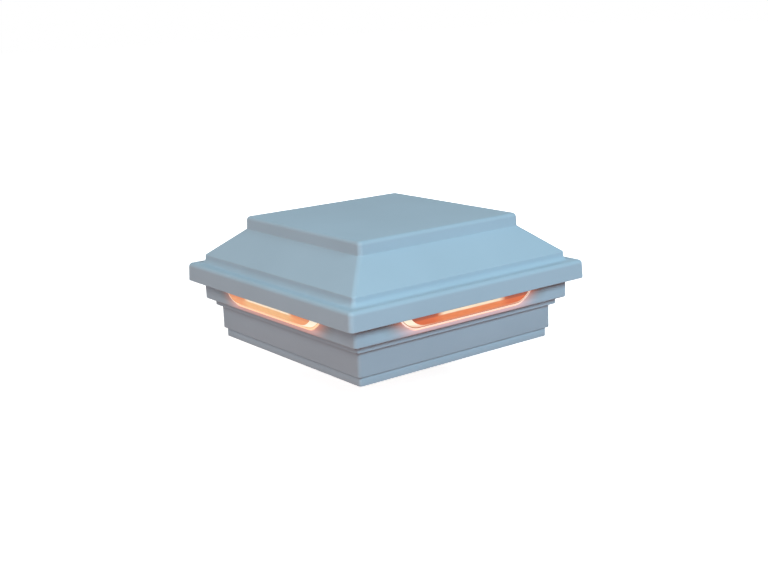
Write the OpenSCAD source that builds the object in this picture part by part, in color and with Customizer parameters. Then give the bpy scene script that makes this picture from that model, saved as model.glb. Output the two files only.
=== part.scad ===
// Deck post cap light: a square cap that stands on a hollow post sleeve and
// shines downwards through four windows under its flange.
// Origin: middle of the underside. Z is up. The front is the side at -Y.
// All the shells are square, so most sizes are half widths from the centre line.

/* [Post] */
// Outside width of the square post sleeve that the light fits over
post_width = 114.3; // [113:0.1:115]
// Gap between the adapter and the post, on each side
post_gap = 0.6; // [0.4:0.1:0.8]

/* [Adapter] */
// Height of the rim that shows under the skirt
adapter_rim_h = 4.8; // [3:0.1:6]
// Height of the wall that stands up inside the skirt
adapter_wall_h = 10; // [6:0.5:11]
// How far the rim stands out from the adapter's inner face
adapter_rim_t = 2.05; // [1.8:0.05:2.6]

/* [Base housing] */
// Half width of the skirt
skirt_half = 61.2; // [61.2:0.1:61.6]
// Half width of the narrow step above the skirt
step_half = 63.65; // [63.5:0.05:64]
// Half width of the collar that holds the windows
collar_half = 67.25; // [67:0.05:67.4]
// Height of the floor's underside, which rests on the post
floor_z = 17.2; // [16.5:0.1:17.5]
// Height of the collar's lower edge
collar_z = 20.7; // [20.2:0.1:20.8]
// Height of the collar's upper edge
collar_top_z = 36.2; // [36:0.1:36.4]
// Thickness of the housing's walls
base_wall = 2.2; // [1.8:0.1:2.2]
// Corner radius of the skirt, step and collar
base_corner_r = 2; // [1:0.1:3]

/* [Windows] */
// Height of a window's lower edge
window_z = 23.2; // [23.1:0.1:24]
// Height of a window's upper edge
window_top_z = 34; // [33:0.1:34]
// Half length where the straight ends would meet the lower edge
window_half = 36.7; // [30:0.1:37]
// How much a window widens for each millimetre upwards, at each end
window_splay = 0.8; // [0.4:0.05:0.8]
// Radius of a window's lower corners
window_corner_r = 13; // [6:0.5:14]
// How far a lens stands out from the collar
lens_proud = 3; // [1:0.1:3.2]

/* [Lid] */
// Half width of the flange at its lower edge
flange_half = 73.6; // [73.4:0.1:76]
// How far the flange's face leans in towards its top
flange_draft = 0.3; // [0:0.1:0.5]
// Height of the flange's lower edge
flange_z = 30.6; // [29:0.1:32]
// Height of the ledge on top of the flange
ledge_z = 40; // [40:0.1:40.2]
// Half width of the slope's foot
foot_half = 66.5; // [66.4:0.1:67]
// Height of the slope's foot
foot_z = 43.8; // [43.1:0.1:44.6]
// Half width of the raised top
top_half = 50.1; // [48:0.1:52]
// Height where the slope meets the raised top
slope_top_z = 58.3; // [56.3:0.1:59.3]
// Height of the top face
top_z = 64.5; // [62.8:0.1:67.3]
// Thickness of the lid's wall
lid_wall = 2.2; // [1.8:0.1:2.2]
// Corner radius of the flange
flange_corner_r = 2.6; // [2.2:0.1:4]
// Radius of the rounded edges of the flange and the top
edge_r = 2.1; // [0.6:0.05:2.2]

/* [Light] */
// Half length of a light emitter board
board_half = 29; // [27:0.5:30]
// Number of emitters on each board
emitter_count = 6; // [2:1:7]
// Half length of a frosted bar
bar_half = 24; // [20:0.5:25]

/* [Hidden] */

FRONT = 0;
RIGHT = 1;
BACK = 2;
LEFT = 3;

shell_colour = [0.68, 0.76, 0.81];
amber = [1.0, 0.62, 0.36];
frosted = [1.0, 0.92, 0.78];
aluminium = [0.78, 0.79, 0.80];
circuit_green = [0.10, 0.36, 0.20];
steel = [0.72, 0.72, 0.74];
black = [0.09, 0.09, 0.10];
sleeve_blue = [0.14, 0.15, 0.30];
ferrite_grey = [0.30, 0.28, 0.26];

fine = 48;
coarse = 24;
past = 1;                              // how far a cutter runs past a face

adapter_inner_half = post_width / 2 + post_gap;
adapter_rim_half = adapter_inner_half + adapter_rim_t;
skirt_inner_half = skirt_half - 1.95;
adapter_wall_half = skirt_inner_half - 0.25;

floor_top_z = floor_z + base_wall;
sill_z = collar_z + base_wall;
step_inner_half = step_half - 2;
collar_inner_half = collar_half - base_wall;

ledge_under_z = ledge_z - lid_wall;
flange_top_half = flange_half - flange_draft;

lens_plate_t = 1.6;
lens_plate_half = 50;
lens_plate_top_z = 35.6;
lens_front_inset = 4.1;                // how far a lens's ends draw in towards its front
lens_front_rise = 1.8;                 // how far its lower edge rises towards its front
lens_fit = 0.15;
stake_x = 45.5;
stake_z = 26;
stake_r = 1;
stake_head_r = 1.9;
stake_head_t = 0.7;

plate_z = 25;                          // underside of the aluminium bracket
sheet_t = 1.5;
bend_r = 0.5;
bend_half = 49.9;
tab_half = 30;
tab_top_z = 36.5;
plate_top_z = plate_z + sheet_t;
tab_face = bend_half + bend_r + sheet_t;
board_t = 1.2;
board_face = tab_face + board_t;
board_z = 27;
board_top_z = 35.5;
emitter_z = 31.2;
emitter_w = 3.5;
emitter_h = 2.8;
emitter_t = 0.8;
emitter_margin = 3.5;                  // from the last emitter's middle to the bar's end
bar_z = 27.4;
bar_top_z = 35;
bar_wall = 1.2;
bar_depth = 5.6;

boss_at = 38;                          // bosses and screws that carry the bracket
boss_r = 4;
screw_r = 1.4;
screw_head_r = 2.8;
screw_head_h = 1.8;
pilot_r = 1.5;                         // hole that a screw cuts its thread in
clearance_r = 1.7;                     // hole that a screw passes through
post_screw_at = 30;
post_screw_r = 2.3;
driver_access_r = 4.5;
lead_access_r = 12;
inlet_y = -22;
inlet_r = 3.5;
inlet_hole_r = 8.1;
grommet_flange_r = 10.5;
grommet_flange_t = 1.8;
grommet_seat_z = floor_z + grommet_flange_t + 0.2;

tray_half = 22;
tray_y = [6, 44];
tray_wall = 1.6;
tray_top_z = 41;
ear_x = tray_half + 3;
ear_y = 20;
ear_r = 3.6;
cover_t = 1.8;
pad_r = 1.8;
pcb_z = 30;
pcb_t = 1.6;
pcb_top_z = pcb_z + pcb_t;
socket_w = 10;
socket_h = 8;
socket_wall = 1.2;

// ---- shapes used by several pieces ------------------------------------------

// Points of a round edge in a half profile: [half width, height] along an arc
function edge_arc(w, z, r, from, to, steps) =
    [for (i = [0:steps]) let (a = from + (to - from) * i / steps) [w + r * cos(a), z + r * sin(a)]];

// One ring of a square shell with round corners
function square_ring(half, r, z, steps) =
    [for (q = [0:3], i = [0:steps])
        let (a = 90 * (q + i / steps), sx = (q == 0 || q == 3) ? 1 : -1, sy = q < 2 ? 1 : -1)
        [sx * (half - r) + r * cos(a), sy * (half - r) + r * sin(a), z]];

// Solid through a list of [half width, height, corner radius], lowest first
module square_loft(profile, steps = 6) {
    ring = 4 * (steps + 1);
    last = len(profile) - 1;
    points = [for (p = profile) each square_ring(p[0], p[2], p[1], steps)];
    walls = [for (k = [0:last - 1], i = [0:ring - 1])
        let (j = (i + 1) % ring, a = k * ring, b = a + ring)
        each [[a + i, b + i, b + j], [a + i, b + j, a + j]]];
    bottom = [for (i = [0:ring - 1]) i];
    top = [for (i = [ring - 1:-1:0]) last * ring + i];
    polyhedron(points, concat([bottom, top], walls));
}

// Square block with true round corners, from one height to another
module square_block(half, r, from, to) {
    height = to - from;
    translate([0, 0, from]) {
        translate([-half, r - half, 0]) cube([2 * half, 2 * (half - r), height]);
        translate([r - half, -half, 0]) cube([2 * (half - r), 2 * half, height]);
        for (sx = [-1, 1], sy = [-1, 1])
            translate([sx * (half - r), sy * (half - r), 0]) cylinder(r = r, h = height, $fn = fine);
    }
}

// Turns a piece from the front to another side
module on_side(side) {
    rotate([0, 0, 90 * side]) children();
}

// A flat outline in X and Z, made solid between two distances from the centre
module outline_wall(from, to) {
    rotate([90, 0, 0]) translate([0, 0, from]) linear_extrude(to - from) children();
}

// A profile in distance and Z, drawn out along the side by this length
module profile_bar(length) {
    rotate([90, 0, -90]) linear_extrude(length, center = true) children();
}

// A window's outline. The ends and the lower edge draw in for the lens's front.
function window_outline(low_z, corner_r, end_inset) =
    let (sweep = 90 - atan(window_splay),
         turn_z = low_z + corner_r * (1 - cos(sweep)),
         turn_x = window_half + (turn_z - window_z) * window_splay - end_inset,
         top_x = window_half + (window_top_z - window_z) * window_splay - end_inset,
         flat_x = turn_x - corner_r * sin(sweep),
         right = [for (i = [0:8]) let (a = sweep * i / 8)
             [flat_x + corner_r * sin(a), low_z + corner_r * (1 - cos(a))]])
    concat(right, [[top_x, window_top_z], [-top_x, window_top_z]],
           [for (i = [8:-1:0]) [-right[i][0], right[i][1]]]);

// Pan head screw with its seat at the origin and its shank pointing down
module pan_screw(length) {
    translate([0, 0, -length]) cylinder(r = screw_r, h = length + 0.2, $fn = coarse);
    difference() {
        cylinder(r = screw_head_r, h = screw_head_h, $fn = fine);
        for (turn = [0, 90])
            rotate([0, 0, turn]) translate([-screw_head_r * 0.6, -0.35, screw_head_h / 2])
                cube([screw_head_r * 1.2, 0.7, screw_head_h]);
    }
}

// Rounds the corners of a route: each inner point becomes a short curve
function rounded_route(points, reach, steps = 4) = concat(
    [points[0]],
    [for (k = [1:len(points) - 2])
        let (p = points[k],
             a = p + reach * unit(points[k - 1] - p),
             b = p + reach * unit(points[k + 1] - p))
        each [for (i = [0:steps]) let (t = i / steps, u = 1 - t) u * u * a + 2 * t * u * p + t * t * b]],
    [points[len(points) - 1]]
);

function unit(v) = v / norm(v);

// Round insulated wire along a route that never runs straight up
module wire(points, r, bend = 1.6, sides = 10) {
    route = rounded_route(points, bend);
    last = len(route) - 1;
    rings = [for (k = [0:last])
        let (ahead = unit(route[min(k + 1, last)] - route[max(k - 1, 0)]),
             across = unit(cross(ahead, [0, 0, 1])),
             up = cross(across, ahead))
        each [for (i = [0:sides - 1])
            let (a = 360 * i / sides) route[k] + r * (cos(a) * across + sin(a) * up)]];
    walls = [for (k = [0:last - 1], i = [0:sides - 1])
        let (j = (i + 1) % sides, a = k * sides, b = a + sides)
        each [[a + i, a + j, b + j], [a + i, b + j, b + i]]];
    start = [for (i = [sides - 1:-1:0]) i];
    end = [for (i = [0:sides - 1]) last * sides + i];
    polyhedron(rings, concat([start, end], walls));
}

// ---- lid --------------------------------------------------------------------

slope_tilt = atan2(foot_half - top_half, slope_top_z - foot_z);
cove_r = 2.6;
nose_r = 1;
crease_r = 0.8;
top_corner_r = 2.4;
foot_corner_r = 2;
inner_corner_r = 0.6;

function with_corner(points, r) = [for (p = points) [p[0], p[1], r]];

// The corner radius shrinks as much as a round edge draws in
function with_edge_corner(points, r) =
    [for (p = points) [p[0], p[1], max(0.3, r - (points[0][0] - p[0]))]];

lid_outside = concat(
    [[flange_half, flange_z, flange_corner_r]],
    with_edge_corner(edge_arc(flange_top_half - edge_r, ledge_z - edge_r, edge_r, 0, 90, 5), flange_corner_r),
    with_corner(edge_arc(foot_half + cove_r, ledge_z + cove_r, cove_r, 270, 180, 4), foot_corner_r),
    with_corner(edge_arc(foot_half - nose_r, foot_z, nose_r, 0, slope_tilt, 3), foot_corner_r),
    with_corner(edge_arc(top_half + crease_r, slope_top_z, crease_r, 180 + slope_tilt, 180, 3), top_corner_r),
    with_edge_corner(edge_arc(top_half - 0.15 - edge_r, top_z - edge_r, edge_r, 0, 90, 5), top_corner_r)
);

lid_inside = [
    [flange_half - lid_wall, flange_z - past, inner_corner_r],
    [flange_top_half - lid_wall, ledge_under_z, inner_corner_r],
    [foot_half - lid_wall, ledge_under_z, inner_corner_r],
    [foot_half - lid_wall, foot_z - 0.7, inner_corner_r],
    [top_half - lid_wall, slope_top_z - 1.5, inner_corner_r],
    [top_half - lid_wall, top_z - lid_wall, inner_corner_r]
];

guide_t = 2;
guide_at = 56;
guide_len = 8;
guide_low_z = 31;
guide_face = foot_half - lid_wall + 0.3;

module lid() {
    color(shell_colour) {
        difference() {
            square_loft(lid_outside);
            square_loft(lid_inside, 2);
        }
        // two guide tabs near each corner keep the lid square on the collar
        for (side = [FRONT:LEFT], sx = [-1, 1])
            on_side(side) translate([sx * guide_at - guide_len / 2, -guide_face, guide_low_z])
                cube([guide_len, guide_t, foot_z - 2 - guide_low_z]);
    }
}

module lid_gasket() {
    color(black) difference() {
        square_block(collar_half, base_corner_r, collar_top_z, ledge_under_z);
        square_block(collar_inner_half, base_corner_r / 2, collar_top_z - past, ledge_under_z + past);
    }
}

// ---- base housing and adapter -------------------------------------------------

module base_shell() {
    difference() {
        union() {
            square_block(skirt_half, base_corner_r, adapter_rim_h, floor_z + past);
            square_block(step_half, base_corner_r, floor_z, collar_z + past);
            square_block(collar_half, base_corner_r, collar_z, collar_top_z);
        }
        square_block(skirt_inner_half, base_corner_r / 2, adapter_rim_h - past, floor_z);
        square_block(step_inner_half, base_corner_r / 2, floor_top_z, sill_z + past);
        square_block(collar_inner_half, base_corner_r / 2, sill_z, collar_top_z + past);
        for (side = [FRONT:LEFT])
            on_side(side) outline_wall(collar_inner_half - past, collar_half + past)
                polygon(window_outline(window_z, window_corner_r, 0));
    }
}

// A melted pin that holds an end of a lens
module lens_stake() {
    rotate([90, 0, 0]) translate([0, 0, collar_inner_half - lens_plate_t]) {
        cylinder(r = stake_r, h = lens_plate_t + 0.5, $fn = coarse);
        translate([0, 0, -stake_head_t]) cylinder(r = stake_head_r, h = stake_head_t, $fn = coarse);
    }
}

inlet_dish_r = grommet_flange_r + 0.5;
inlet_dish_h = grommet_seat_z - floor_z;

module base_housing() {
    color(shell_colour) difference() {
        union() {
            base_shell();
            for (sx = [-1, 1], sy = [-1, 1])
                translate([sx * boss_at, sy * boss_at, floor_top_z - 0.5])
                    cylinder(r = boss_r, h = plate_z - floor_top_z + 0.5, $fn = fine);
            // the floor rises round the lead's hole, so that the grommet clears the post
            translate([0, inlet_y, floor_z + 0.5])
                cylinder(r = inlet_dish_r + base_wall, h = inlet_dish_h + base_wall - 0.5, $fn = fine);
            for (side = [FRONT:LEFT], sx = [-1, 1])
                on_side(side) translate([sx * stake_x, 0, stake_z]) lens_stake();
        }
        for (sx = [-1, 1], sy = [-1, 1]) {
            translate([sx * boss_at, sy * boss_at, floor_top_z + 0.6])
                cylinder(r = pilot_r, h = 10, $fn = fine);
            translate([sx * post_screw_at, sy * post_screw_at, floor_z - past])
                cylinder(r = post_screw_r, h = base_wall + 2 * past, $fn = fine);
        }
        translate([0, inlet_y, floor_z - past]) {
            cylinder(r = inlet_dish_r, h = inlet_dish_h + past, $fn = fine);
            cylinder(r = inlet_hole_r, h = 10, $fn = fine);
        }
    }
}

rib_w = 1.2;
rib_proud = 0.35;
rib_spacing = 36;

module post_adapter() {
    top_z_here = adapter_rim_h + adapter_wall_h;
    color(shell_colour) {
        difference() {
            union() {
                square_block(adapter_rim_half, 1.5, 0, adapter_rim_h);
                square_block(adapter_wall_half, 1.5, adapter_rim_h - 0.5, top_z_here);
            }
            square_block(adapter_inner_half, 1, -past, top_z_here + past);
        }
        // low ribs centre the adapter on the post
        for (side = [FRONT:LEFT], i = [-1:1])
            on_side(side) translate([i * rib_spacing - rib_w / 2, -adapter_inner_half - 0.3, 1])
                cube([rib_w, rib_proud + 0.3, top_z_here - 2]);
    }
}

module wire_grommet() {
    color(black) translate([0, inlet_y, grommet_seat_z]) difference() {
        union() {
            for (z = [-grommet_flange_t, base_wall])
                translate([0, 0, z]) cylinder(r = grommet_flange_r, h = grommet_flange_t, $fn = fine);
            translate([0, 0, -0.2]) cylinder(r = inlet_hole_r - 0.1, h = base_wall + 0.4, $fn = fine);
        }
        translate([0, 0, -grommet_flange_t - past])
            cylinder(r = inlet_r, h = base_wall + 2 * (grommet_flange_t + past), $fn = fine);
    }
}

// ---- windows ------------------------------------------------------------------

module lens() {
    lens_low_z = window_z + lens_fit;
    front_half = collar_half + lens_proud;
    color(amber) {
        difference() {
            outline_wall(collar_inner_half - lens_plate_t, collar_inner_half)
                translate([-lens_plate_half, sill_z])
                    square([2 * lens_plate_half, lens_plate_top_z - sill_z]);
            for (sx = [-1, 1])
                translate([sx * stake_x, 0, stake_z]) rotate([90, 0, 0])
                    translate([0, 0, collar_inner_half - lens_plate_t - past])
                        cylinder(r = stake_r + 0.1, h = lens_plate_t + 2 * past, $fn = coarse);
        }
        outline_wall(collar_inner_half - 0.2, collar_half)
            polygon(window_outline(lens_low_z, window_corner_r, lens_fit));
        // the part that stands out draws in on all sides towards its front
        hull() {
            outline_wall(collar_half - 0.02, collar_half)
                polygon(window_outline(lens_low_z, window_corner_r, lens_fit));
            outline_wall(front_half - 0.02, front_half)
                polygon(window_outline(window_z + lens_front_rise, window_corner_r - 2, lens_front_inset));
        }
    }
}

module light_bar() {
    middle = (bar_z + bar_top_z) / 2;
    round_r = (bar_top_z - bar_z) / 2;
    round_w = board_face + bar_depth - round_r;
    color(frosted) difference() {
        profile_bar(2 * bar_half)
            polygon(concat([[board_face, bar_z]],
                edge_arc(round_w, middle, round_r, -90, 90, 16), [[board_face, bar_top_z]]));
        profile_bar(2 * (bar_half - bar_wall))
            polygon(concat([[board_face - past, bar_z + bar_wall]],
                edge_arc(round_w, middle, round_r - bar_wall, -90, 90, 16),
                [[board_face - past, bar_top_z - bar_wall]]));
    }
}

// ---- light boards and their bracket ---------------------------------------------

module led_board() {
    color("white") profile_bar(2 * board_half)
        translate([tab_face, board_z]) square([board_t, board_top_z - board_z]);
}

module led_row() {
    first = bar_half - emitter_margin;
    pitch = 2 * first / (emitter_count - 1);
    color("white") for (i = [0:emitter_count - 1])
        translate([i * pitch - first - emitter_w / 2, -board_face - emitter_t, emitter_z - emitter_h / 2])
            cube([emitter_w, emitter_t, emitter_h]);
}

// One upturned edge of the bracket, with its bend
module bracket_tab() {
    bend_z = plate_top_z + bend_r;
    profile_bar(2 * tab_half)
        polygon(concat(
            [[bend_half - 1, plate_z]],
            edge_arc(bend_half, bend_z, bend_r + sheet_t, -90, 0, 6),
            [[tab_face, tab_top_z], [tab_face - sheet_t, tab_top_z]],
            edge_arc(bend_half, bend_z, bend_r, 0, -90, 4),
            [[bend_half - 1, plate_top_z]]));
}

module led_bracket() {
    color(aluminium) difference() {
        union() {
            translate([-bend_half, -bend_half, plate_z]) cube([2 * bend_half, 2 * bend_half, sheet_t]);
            for (side = [FRONT:LEFT]) on_side(side) bracket_tab();
        }
        for (sx = [-1, 1], sy = [-1, 1]) {
            translate([sx * boss_at, sy * boss_at, plate_z - past])
                cylinder(r = clearance_r, h = sheet_t + 2 * past, $fn = fine);
            // a driver reaches the post screws through these
            translate([sx * post_screw_at, sy * post_screw_at, plate_z - past])
                cylinder(r = driver_access_r, h = sheet_t + 2 * past, $fn = fine);
        }
        translate([0, inlet_y, plate_z - past])
            cylinder(r = lead_access_r, h = sheet_t + 2 * past, $fn = fine);
        for (sx = [-1, 1])
            translate([sx * ear_x, ear_y, plate_z - past])
                cylinder(r = pilot_r, h = sheet_t + 2 * past, $fn = fine);
    }
}

module bracket_screws() {
    color(steel) for (sx = [-1, 1], sy = [-1, 1])
        translate([sx * boss_at, sy * boss_at, plate_top_z]) pan_screw(5.5);
}

// ---- driver --------------------------------------------------------------------

module driver_footprint(from, to) {
    translate([-tray_half, tray_y[0], from]) cube([2 * tray_half, tray_y[1] - tray_y[0], to - from]);
    for (sx = [-1, 1])
        translate([sx * ear_x, ear_y, from]) cylinder(r = ear_r, h = to - from, $fn = fine);
}

module driver_tray() {
    inner_y = tray_y[0] + tray_wall;
    color(black) difference() {
        driver_footprint(plate_top_z, tray_top_z);
        difference() {
            translate([tray_wall - tray_half, inner_y, plate_top_z + tray_wall])
                cube([2 * (tray_half - tray_wall), tray_y[1] - tray_wall - inner_y, tray_top_z]);
            // four pads carry the board
            for (sx = [-1, 1], y = [inner_y + 2, tray_y[1] - tray_wall - 2])
                translate([sx * (tray_half - tray_wall - 2), y, plate_top_z])
                    cylinder(r = pad_r, h = pcb_z - plate_top_z, $fn = coarse);
        }
        for (sx = [-1, 1])
            translate([sx * ear_x, ear_y, plate_top_z - past]) cylinder(r = clearance_r, h = 30, $fn = fine);
        // slot for the supply socket, open at the top
        translate([-socket_w / 2 - 0.2, tray_y[0] - past, pcb_top_z - 0.2])
            cube([socket_w + 0.4, tray_wall + 2 * past, 20]);
        // slot for the two leads to the light boards
        translate([tray_half - tray_wall - past, lead_y - 1.4, 34]) cube([tray_wall + 2 * past, 2.8, 20]);
    }
}

module driver_board() {
    inset = tray_wall + 0.3;
    color(circuit_green) translate([inset - tray_half, tray_y[0] + inset, pcb_z])
        cube([2 * (tray_half - inset), tray_y[1] - tray_y[0] - 2 * inset, pcb_t]);
}

module driver_cover() {
    color(black) difference() {
        driver_footprint(tray_top_z, tray_top_z + cover_t);
        for (sx = [-1, 1])
            translate([sx * ear_x, ear_y, tray_top_z - past])
                cylinder(r = clearance_r, h = cover_t + 2 * past, $fn = fine);
    }
}

module driver_screws() {
    color(steel) for (sx = [-1, 1])
        translate([sx * ear_x, ear_y, tray_top_z + cover_t]) pan_screw(18);
}

module bridge_rectifier() {
    size = [8.5, 6.5, 3];
    lead = [0.8, 1.4, 1.2];
    color(black) translate([-15, 15, pcb_top_z]) {
        translate([0, 0, 0.5]) cube(size);
        for (x = [1.3, 5.9], y = [0.2 - lead[1], size[1] - 0.2])
            translate([x, y, 0]) cube(lead);
    }
}

module smoothing_capacitor() {
    can_r = 5;
    color(sleeve_blue) translate([-11, 33, pcb_top_z]) difference() {
        cylinder(r = can_r, h = 8.6, $fn = fine);
        // the crimp near the foot
        translate([0, 0, 1.6]) rotate_extrude($fn = fine) translate([can_r, 0]) circle(r = 0.4, $fn = coarse);
    }
}

module choke() {
    rim_r = 4.6;
    waist_r = 3.6;
    high = 6.7;
    color(ferrite_grey) translate([3, 33, pcb_top_z]) rotate_extrude($fn = fine)
        polygon([[0, 0], [rim_r, 0], [rim_r, 1.2], [waist_r, 1.7],
                 [waist_r, high - 1.7], [rim_r, high - 1.2], [rim_r, high], [0, high]]);
}

module regulator_chip() {
    size = [4.9, 3.9, 1.5];
    lead = [0.4, 1.3, 0.6];
    lead_pitch = 1.27;
    color(black) translate([6, 16, pcb_top_z]) {
        translate([0, 0, 0.2]) cube(size);
        for (i = [0:3], y = [0.3 - lead[1], size[1] - 0.3])
            translate([0.35 + i * lead_pitch, y, 0]) cube(lead);
    }
}

module supply_socket() {
    color("white") translate([-socket_w / 2, tray_y[0] - 1, pcb_top_z]) difference() {
        cube([socket_w, 10, socket_h]);
        translate([socket_wall, -past, socket_wall])
            cube([socket_w - 2 * socket_wall, 8, socket_h - 2 * socket_wall]);
    }
    // its two contact pins
    color(steel) for (sx = [-1, 1])
        translate([sx * 1.9, tray_y[0] + 7, pcb_top_z + socket_h / 2])
            rotate([90, 0, 0]) cylinder(r = 0.5, h = 6, $fn = coarse);
}

module output_socket() {
    size = [6.5, 6, 7.6];
    color("white") translate([output_x - size[0], lead_y - size[1] / 2, pcb_top_z]) cube(size);
}

// ---- leads inside ---------------------------------------------------------------

jumper_r = 0.8;
jumper_z = 33.6;
jumper_x = 26.6;
jumper_out = board_face + 2.1;
jumper_turn = 42;
lead_y = 33;
lead_end_y = 27.4;
output_x = 19;

// Short links pass the light from board to board round three corners
module board_jumpers() {
    color("red") for (side = [FRONT:BACK])
        on_side(side) wire([
            [jumper_x, -board_face, jumper_z], [jumper_x, -jumper_out, jumper_z],
            [jumper_turn, -jumper_out, jumper_z], [jumper_out, -jumper_turn, jumper_z],
            [jumper_out, -jumper_x, jumper_z], [board_face, -jumper_x, jumper_z]], jumper_r);
}

module driver_lead() {
    color("black") for (z = [35.6, 37.6]) {
        end_z = z - 6.4;
        wire([
            [output_x, lead_y, z], [24, lead_y, z], [34, lead_y, end_z], [jumper_out, lead_y, end_z],
            [jumper_out, lead_end_y, end_z], [board_face, lead_end_y, end_z]], jumper_r);
    }
}

// ---- the part ---------------------------------------------------------------------

lid();
lid_gasket();
base_housing();
post_adapter();
wire_grommet();
on_side(FRONT) lens();  // lens_front
on_side(RIGHT) lens();  // lens_right
on_side(BACK) lens();  // lens_back
on_side(LEFT) lens();  // lens_left
on_side(FRONT) light_bar();  // light_bar_front
on_side(RIGHT) light_bar();  // light_bar_right
on_side(BACK) light_bar();  // light_bar_back
on_side(LEFT) light_bar();  // light_bar_left
on_side(FRONT) led_board();  // led_board_front
on_side(RIGHT) led_board();  // led_board_right
on_side(BACK) led_board();  // led_board_back
on_side(LEFT) led_board();  // led_board_left
on_side(FRONT) led_row();  // leds_front
on_side(RIGHT) led_row();  // leds_right
on_side(BACK) led_row();  // leds_back
on_side(LEFT) led_row();  // leds_left
led_bracket();
bracket_screws();
driver_tray();
driver_board();
driver_cover();
driver_screws();
bridge_rectifier();
smoothing_capacitor();
choke();
regulator_chip();
supply_socket();
output_socket();
board_jumpers();
driver_lead();
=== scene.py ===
# Deck post cap light, dressed in its real finishes. Sizes are in millimetres and become
# metres where a mesh is made. The front is the side at -Y, and Z is up, as in the loaded model.
import math
import bmesh
import bpy
from mathutils import Matrix, Vector


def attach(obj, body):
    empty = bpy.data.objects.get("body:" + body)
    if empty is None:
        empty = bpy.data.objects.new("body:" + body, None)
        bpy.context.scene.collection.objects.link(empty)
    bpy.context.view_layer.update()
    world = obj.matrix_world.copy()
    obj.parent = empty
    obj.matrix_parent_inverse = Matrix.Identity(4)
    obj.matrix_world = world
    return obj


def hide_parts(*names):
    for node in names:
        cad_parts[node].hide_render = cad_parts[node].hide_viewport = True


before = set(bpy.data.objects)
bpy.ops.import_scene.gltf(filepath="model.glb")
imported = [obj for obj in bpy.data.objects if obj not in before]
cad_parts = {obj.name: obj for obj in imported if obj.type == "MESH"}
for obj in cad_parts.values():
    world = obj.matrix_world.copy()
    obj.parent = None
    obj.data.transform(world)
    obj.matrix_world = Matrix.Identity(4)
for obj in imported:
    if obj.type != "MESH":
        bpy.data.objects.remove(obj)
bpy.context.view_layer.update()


# ---- Studio -------------------------------------------------------------------------------
# A white photo table seen through a short telephoto lens from above the front left corner.
# A wide cool lamp stands in front, two weaker ones at the left, and a low one behind.
MM = 0.001
CAMERA_AZIMUTH = math.radians(-37.25)
CAMERA_ELEVATION = math.radians(13.79)
CAMERA_ROLL = math.radians(-2.14)
CAMERA_DISTANCE = 611.7
CAMERA_ASIDE = 1.02
CAMERA_ABOVE = 24.80
CAMERA_LENS = 54.53

LAMP_DISTANCE = 1300
LAMP_SIZE = 480
LAMPS = {  # direction from the object, watts, colour
    "cool_front_lamp": ((0.05, -0.82, 0.50), 14.2, (0.660, 0.895, 1.0)),
    "left_lamp": ((-0.86, 0.02, 0.30), 4.1, (0.880, 0.980, 1.0)),
    "warm_high_left_lamp": ((-0.77, -0.08, 0.72), 5.2, (1.0, 0.940, 0.890)),
    "low_rear_lamp": ((0.62, 0.62, 0.20), 7.0, (1.0, 0.980, 0.970)),
}
FLOOR_HALF = 6000
FLOOR_BELOW = 31  # low enough that the ring under the skirt can be pulled out above it
SHADOW_REACH = (80, 400)
WHITE = (1, 1, 1, 1)


def linear(hex_colour):
    """A colour written as sRGB hex, turned into the linear values that the nodes take."""
    parts = [int(hex_colour[i:i + 2], 16) / 255 for i in (1, 3, 5)]
    return [c / 12.92 if c <= 0.04045 else ((c + 0.055) / 1.055) ** 2.4 for c in parts] + [1]


def node(tree, kind, inputs=None, output=0, **settings):
    """Adds a node. Each input is a value or an output to link; the chosen output is returned."""
    made = tree.nodes.new(kind)
    for name, value in settings.items():
        setattr(made, name, value)
    for key, value in (inputs or {}).items():
        if isinstance(value, bpy.types.NodeSocket):
            tree.links.new(value, made.inputs[key])
        else:
            made.inputs[key].default_value = value
    return made.outputs[output] if made.outputs else made


camera_back = Vector((math.sin(CAMERA_AZIMUTH) * math.cos(CAMERA_ELEVATION),
                      -math.cos(CAMERA_AZIMUTH) * math.cos(CAMERA_ELEVATION),
                      math.sin(CAMERA_ELEVATION)))
camera_right = Vector((math.cos(CAMERA_AZIMUTH), math.sin(CAMERA_AZIMUTH), 0))
camera_up = camera_back.cross(camera_right)
tilted_right = camera_right * math.cos(CAMERA_ROLL) + camera_up * math.sin(CAMERA_ROLL)
tilted_up = camera_up * math.cos(CAMERA_ROLL) - camera_right * math.sin(CAMERA_ROLL)
camera_turn = Matrix((tilted_right, tilted_up, camera_back)).transposed().to_4x4()
camera_place = camera_back * CAMERA_DISTANCE + camera_right * CAMERA_ASIDE + camera_up * CAMERA_ABOVE
camera_data = bpy.data.cameras.new("camera")
camera_data.lens = CAMERA_LENS
camera_data.sensor_width = 36
camera_data.clip_start = 0.01
camera = bpy.data.objects.new("camera", camera_data)
camera.matrix_world = Matrix.Translation(camera_place * MM) @ camera_turn
bpy.context.scene.collection.objects.link(camera)
bpy.context.scene.camera = camera
bpy.context.scene.view_settings.view_transform = "Standard"


def soft_lamp(name, toward, watts, colour):
    """A wide square lamp in this direction from the object, turned towards it."""
    data = bpy.data.lights.new(name, "AREA")
    data.shape = "SQUARE"
    data.size = LAMP_SIZE * MM
    data.energy = watts
    data.color = colour
    lamp = bpy.data.objects.new(name, data)
    bpy.context.scene.collection.objects.link(lamp)
    direction = Vector(toward).normalized()
    turn = (-direction).to_track_quat("-Z", "Y").to_matrix().to_4x4()
    lamp.matrix_world = Matrix.Translation(direction * LAMP_DISTANCE * MM) @ turn
    return lamp


for name, (toward, watts, colour) in LAMPS.items():
    lamp = soft_lamp(name, toward, watts, colour)
    # a lamp behind would throw glare across the flat top
    lamp.visible_glossy = toward[1] < 0.5


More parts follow.
